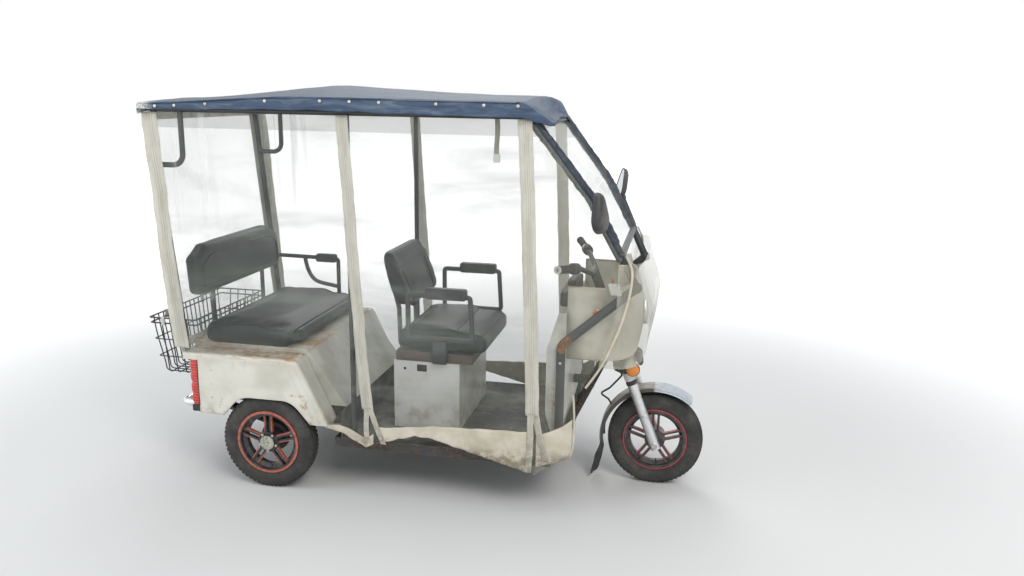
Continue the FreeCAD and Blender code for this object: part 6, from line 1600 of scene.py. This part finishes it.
gripParts, switchParts = [], []
for side in sides:
    start, finish = place(1247, side * 248, 984), place(1205, side * 362, 1000)
    run = (finish - start).normalized()
    inner = start - run * grip["switch"]
    button = inner + run * 0.030
    gripParts += [turned("grip_sleeve", start, run, gripRows((finish - start).length), darkRubber, 24),
                  turned("grip_end", finish - run * grip["end"], run, endRows, gripWhite, 24)]
    switchParts += [turned("switch_body", inner, run, switchRows, blackPlastic, 28),
                    disc("switch_boss", inner + run * 0.024 + Vector((-0.017, 0, 0.012)), (-0.75, side * 0.2, 0.6),
                         0.0115, 0.010, zinc, 20, 0.002),
                    softBlock("switch_button", button + Vector((-0.006, -0.006, 0.018)),
                              button + Vector((0.006, 0.006, 0.0235)), redLens if side > 0 else greyPlastic, 0.0015, 2)]
joinedOn("ribbed_grips", gripParts, "hand_grips", "steering")
joinedOn("switch_pods", switchParts, "switch_housings", "steering")

# fork dressing, indicators and horn
steer = {"foot": Vector((rearAxleX + 1.5725, 0, 0.1919)), "up": Vector((-0.3746, 0, 0.9272)),
         "ahead": Vector((0.9272, 0, 0.3746))}
legAhead, legLeft = 35, 85


def onFork(along, forward=0.0, left=0.0):  # millimetres along the steering axis, ahead of it and to its left
    return steer["foot"] + steer["up"] * along / 1000 + steer["ahead"] * forward / 1000 + Vector((0, left / 1000, 0))


baseRows = softTurn([(0.0, 0.0), (0.0, 0.0180), (0.006, 0.0270), (0.010, 0.0298), (0.0165, 0.0298), (0.0165, 0.0)])
lensRows = softTurn([(0.0, 0.0), (0.0, 0.0272), (0.0035, 0.0270), (0.0075, 0.0215), (0.0100, 0.0120), (0.0110, 0.0)],
                    0.002)
indicatorParts = []
for side in sides:
    seat = onFork(0, 65, side * 107.4)
    seat += steer["up"] * ((0.543 - seat.z) / steer["up"].z)
    lensSeat = seat + Vector((0, side * 0.0166, 0))
    indicatorParts += [turned("indicator_base", seat, (0, side, 0), baseRows, blackPlastic, 32),
                       turned("indicator_lens", lensSeat, (0, side, 0), lensRows, orangeLens, 32)]
joinedOn("round_indicators", indicatorParts, "front_indicators", "steering")
hornSeat = onFork(0, 57.3)
hornSeat += steer["up"] * ((0.560 - onFork(0, 83).z) / steer["up"].z)
hornRows = [(0.0, 0.0), (0.0, 0.0138), (0.020, 0.0138), (0.0222, 0.0320), (0.027, 0.0355), (0.034, 0.0358),
            (0.036, 0.0330), (0.0385, 0.0325), (0.0395, 0.0290), (0.0425, 0.0280), (0.0435, 0.0240), (0.0455, 0.0150),
            (0.0478, 0.0130), (0.0478, 0.0)]
horn = turned("horn_shell", hornSeat, steer["ahead"], softTurn(hornRows, 0.001), blackPlastic, 32)
onBody(horn, "horn", "steering")
legParts = (  # name, millimetres up the leg, profile, its rounding and its material
    ("fork_sleeve", 249, [(0.0, 0.0160), (0.0, 0.0214), (0.034, 0.0214), (0.034, 0.0160)], 0.0015, forkSilver),
    ("fork_seal", 283, [(0.0, 0.0160), (0.0, 0.0236), (0.012, 0.0236), (0.017, 0.0200), (0.017, 0.0160)], 0.0015,
     darkRubber),
    ("fork_clamp", 302, [(0.0, 0.0160), (0.0, 0.0220), (0.004, 0.0232), (0.034, 0.0232), (0.038, 0.0210),
                         (0.038, 0.0160)], 0.0015, shieldPlastic),
    ("fork_ring", 205, [(0.0, 0.0208), (0.0, 0.0218), (0.003, 0.0218), (0.003, 0.0208)], 0.0004, forkSilver),
)
stanchionCap = softTurn([(0.0, 0.0), (0.0, 0.0150), (0.006, 0.0150), (0.009, 0.0110), (0.009, 0.0)])
nutRows = softTurn([(0.0, 0.0071), (0.0, 0.0112), (0.007, 0.0112), (0.007, 0.0071)], 0.0006)
washerRows = [(0.0, 0.0071), (0.0, 0.0140), (0.0012, 0.0140), (0.0012, 0.0071)]
forkParts = []
for side in sides:
    forkParts += [turned(name, onFork(along, legAhead, side * legLeft), steer["up"], softTurn(rows, edge), material, 28)
                  for name, along, rows, edge, material in legParts]
    for name, left, rows, count in (("spindle_nut", 0.1065, nutRows, 6), ("spindle_washer", 0.1052, washerRows, 24)):
        forkParts.append(turned(name, (frontAxleX, side * left, wheelRadius), (0, side, 0), rows, zinc, count))
    legTop = onFork(668, legAhead, side * legLeft)
    forkParts.append(turned("stanchion_cap", legTop, steer["up"], stanchionCap, chrome, 24))
stemNut = softTurn([(0.0, 0.0), (0.0, 0.0170), (0.010, 0.0170), (0.010, 0.0)], 0.001)
forkParts.append(turned("stem_nut", onFork(668, 0), steer["up"], stemNut, zinc, 6))
joinedOn("fork_fittings", forkParts, None, "steering")
guardRadius, guardLeft, guardSteps = 0.2245, 0.0492, 48
guardAngles = [math.radians(51.5 + 135 * step / guardSteps) for step in range(guardSteps + 1)]
guardArc = [(frontAxleX + guardRadius * math.cos(angle), wheelRadius + guardRadius * math.sin(angle))
            for angle in guardAngles]
guardRuns = [[Vector((ahead, side * guardLeft, height)) for ahead, height in guardArc] for side in sides]
onBody(wires("mudguard_edges", guardRuns, 0.0022, mudguardCoat), None, "steering")
mudFlap = {"top": Vector((frontAxleX - 0.2372, 0, wheelRadius - 0.0291)), "foot": place(1344, 0, 8), "wide": 0.090,
           "tall": 0.17}


def mudFlapPoint(around, down):  # a rubber sheet with a torn lower edge and a slight sag
    left = (around - 0.5) * mudFlap["wide"]
    tear = 0.010 * math.exp(-((around - 0.72) / 0.08) ** 2)
    share = down * (1 - max(0.0, 0.012 + ripple((around * 9, 0, 0), (1, 1, 1), 0.012, 5.0) - tear) / mudFlap["tall"])
    sag = 0.004 + 0.003 * math.sin(share * 5) + ripple((left, share * 0.2, 0), (25, 18, 1), 0.003)
    forward = 0.30 * left * min(1.0, share * 3) + sag
    return mudFlap["top"].lerp(mudFlap["foot"], share) + Vector((forward, left * (1 + 0.02 * math.sin(share * 9)), 0))


tornFlap = sheetGrid("torn_mud_flap", mudFlapPoint, 40, 30, flapRubber, False, 0.003)
onBody(tornFlap, "mud_flap", "steering")
print("front end made")

# armrests, seat frame trim and small fittings
armLoop = [(652, 846), (600, 846), (572, 846), (572, 818), (572, 700), (572, 662), (600, 662), (820, 662), (848, 662),
           (848, 690), (839, 820), (838, 846), (812, 846), (652, 846)]
armParts, armPads = [], []
for side in sides:
    left = side * 278
    plateLow, plateHigh = (246, 279) if side > 0 else (-279, -246)
    tube = [place(ahead, left, height) for ahead, height in armLoop]
    armParts += [rod("arm_tube", tube, 0.0108, blackPaint, True, 16),
                 block("arm_plate", (675, plateLow, 551.3), (735, plateHigh, 661), blackPaint, 0.003, 2)]
    armPads.append(block("arm_pad", (650, left - 23.5, 833), (823.5, left + 23.5, 880), padVinyl, 0.0115, 5))
joinedOn("arm_loops", armParts + armPads, "driver_armrests")
braceLine = [(-196, 838), (-192, 806), (-176, 757), (-150, 722), (-110, 708), (-60, 702), (-19, 694)]
brace = rod("rear_arm_tube", [place(ahead, 400, height) for ahead, height in braceLine], 0.0105, blackPaint)
bracePad = block("rear_arm_pad", (-134, 380, 818), (-26, 420, 860), padVinyl, 0.0115, 5)
joinedOn("rear_arm_brace", [brace, bracePad])
ventParts = [block("box_vent_plate", (600, -251.8, 506), (643, -249.8, 536), greyPlastic, 0.0008, 2)]
ventParts += [block("box_vent_slot", (604, -252.6, 510 + 5 * step), (639, -251.2, 512.4 + 5 * step), blackPlastic,
                    0.0004, 1) for step in range(5)]
ventParts.append(disc("box_plug", place(546, -250.6, 515), (0, 1, 0), 0.006, 0.002, blackPlastic, 16, 0.0004))
joinedOn("seat_box_vent", ventParts)


def strapPoint(across, down):
    ahead = 969 + (across - 0.5) * 19 + 1.5 * math.sin(down * 5)
    return place(ahead, -399 + 2.5 * math.sin(down * 7), 1572 - 147 * down)


joinedOn("strap_and_buckle", [sheetGrid("hanging_strap", strapPoint, 4, 30, strapWeb, False, 0.0016),
                              block("strap_buckle", (956, -404, 1408), (982, -394, 1440), shieldPlastic, 0.003, 3)])
boltRows = ((386, 444, 262), (386, 444, 1566), (1224, 349, 300), (1224, 349, 620), (-440, 445, 1570), (-360, 445, 600))
boltSpots = [place(ahead, side * left, height) for side in sides for ahead, left, height in boltRows]
studs("frame_bolts", boltSpots, 0.006, 0.7)
print("small fittings made")

low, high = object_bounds()
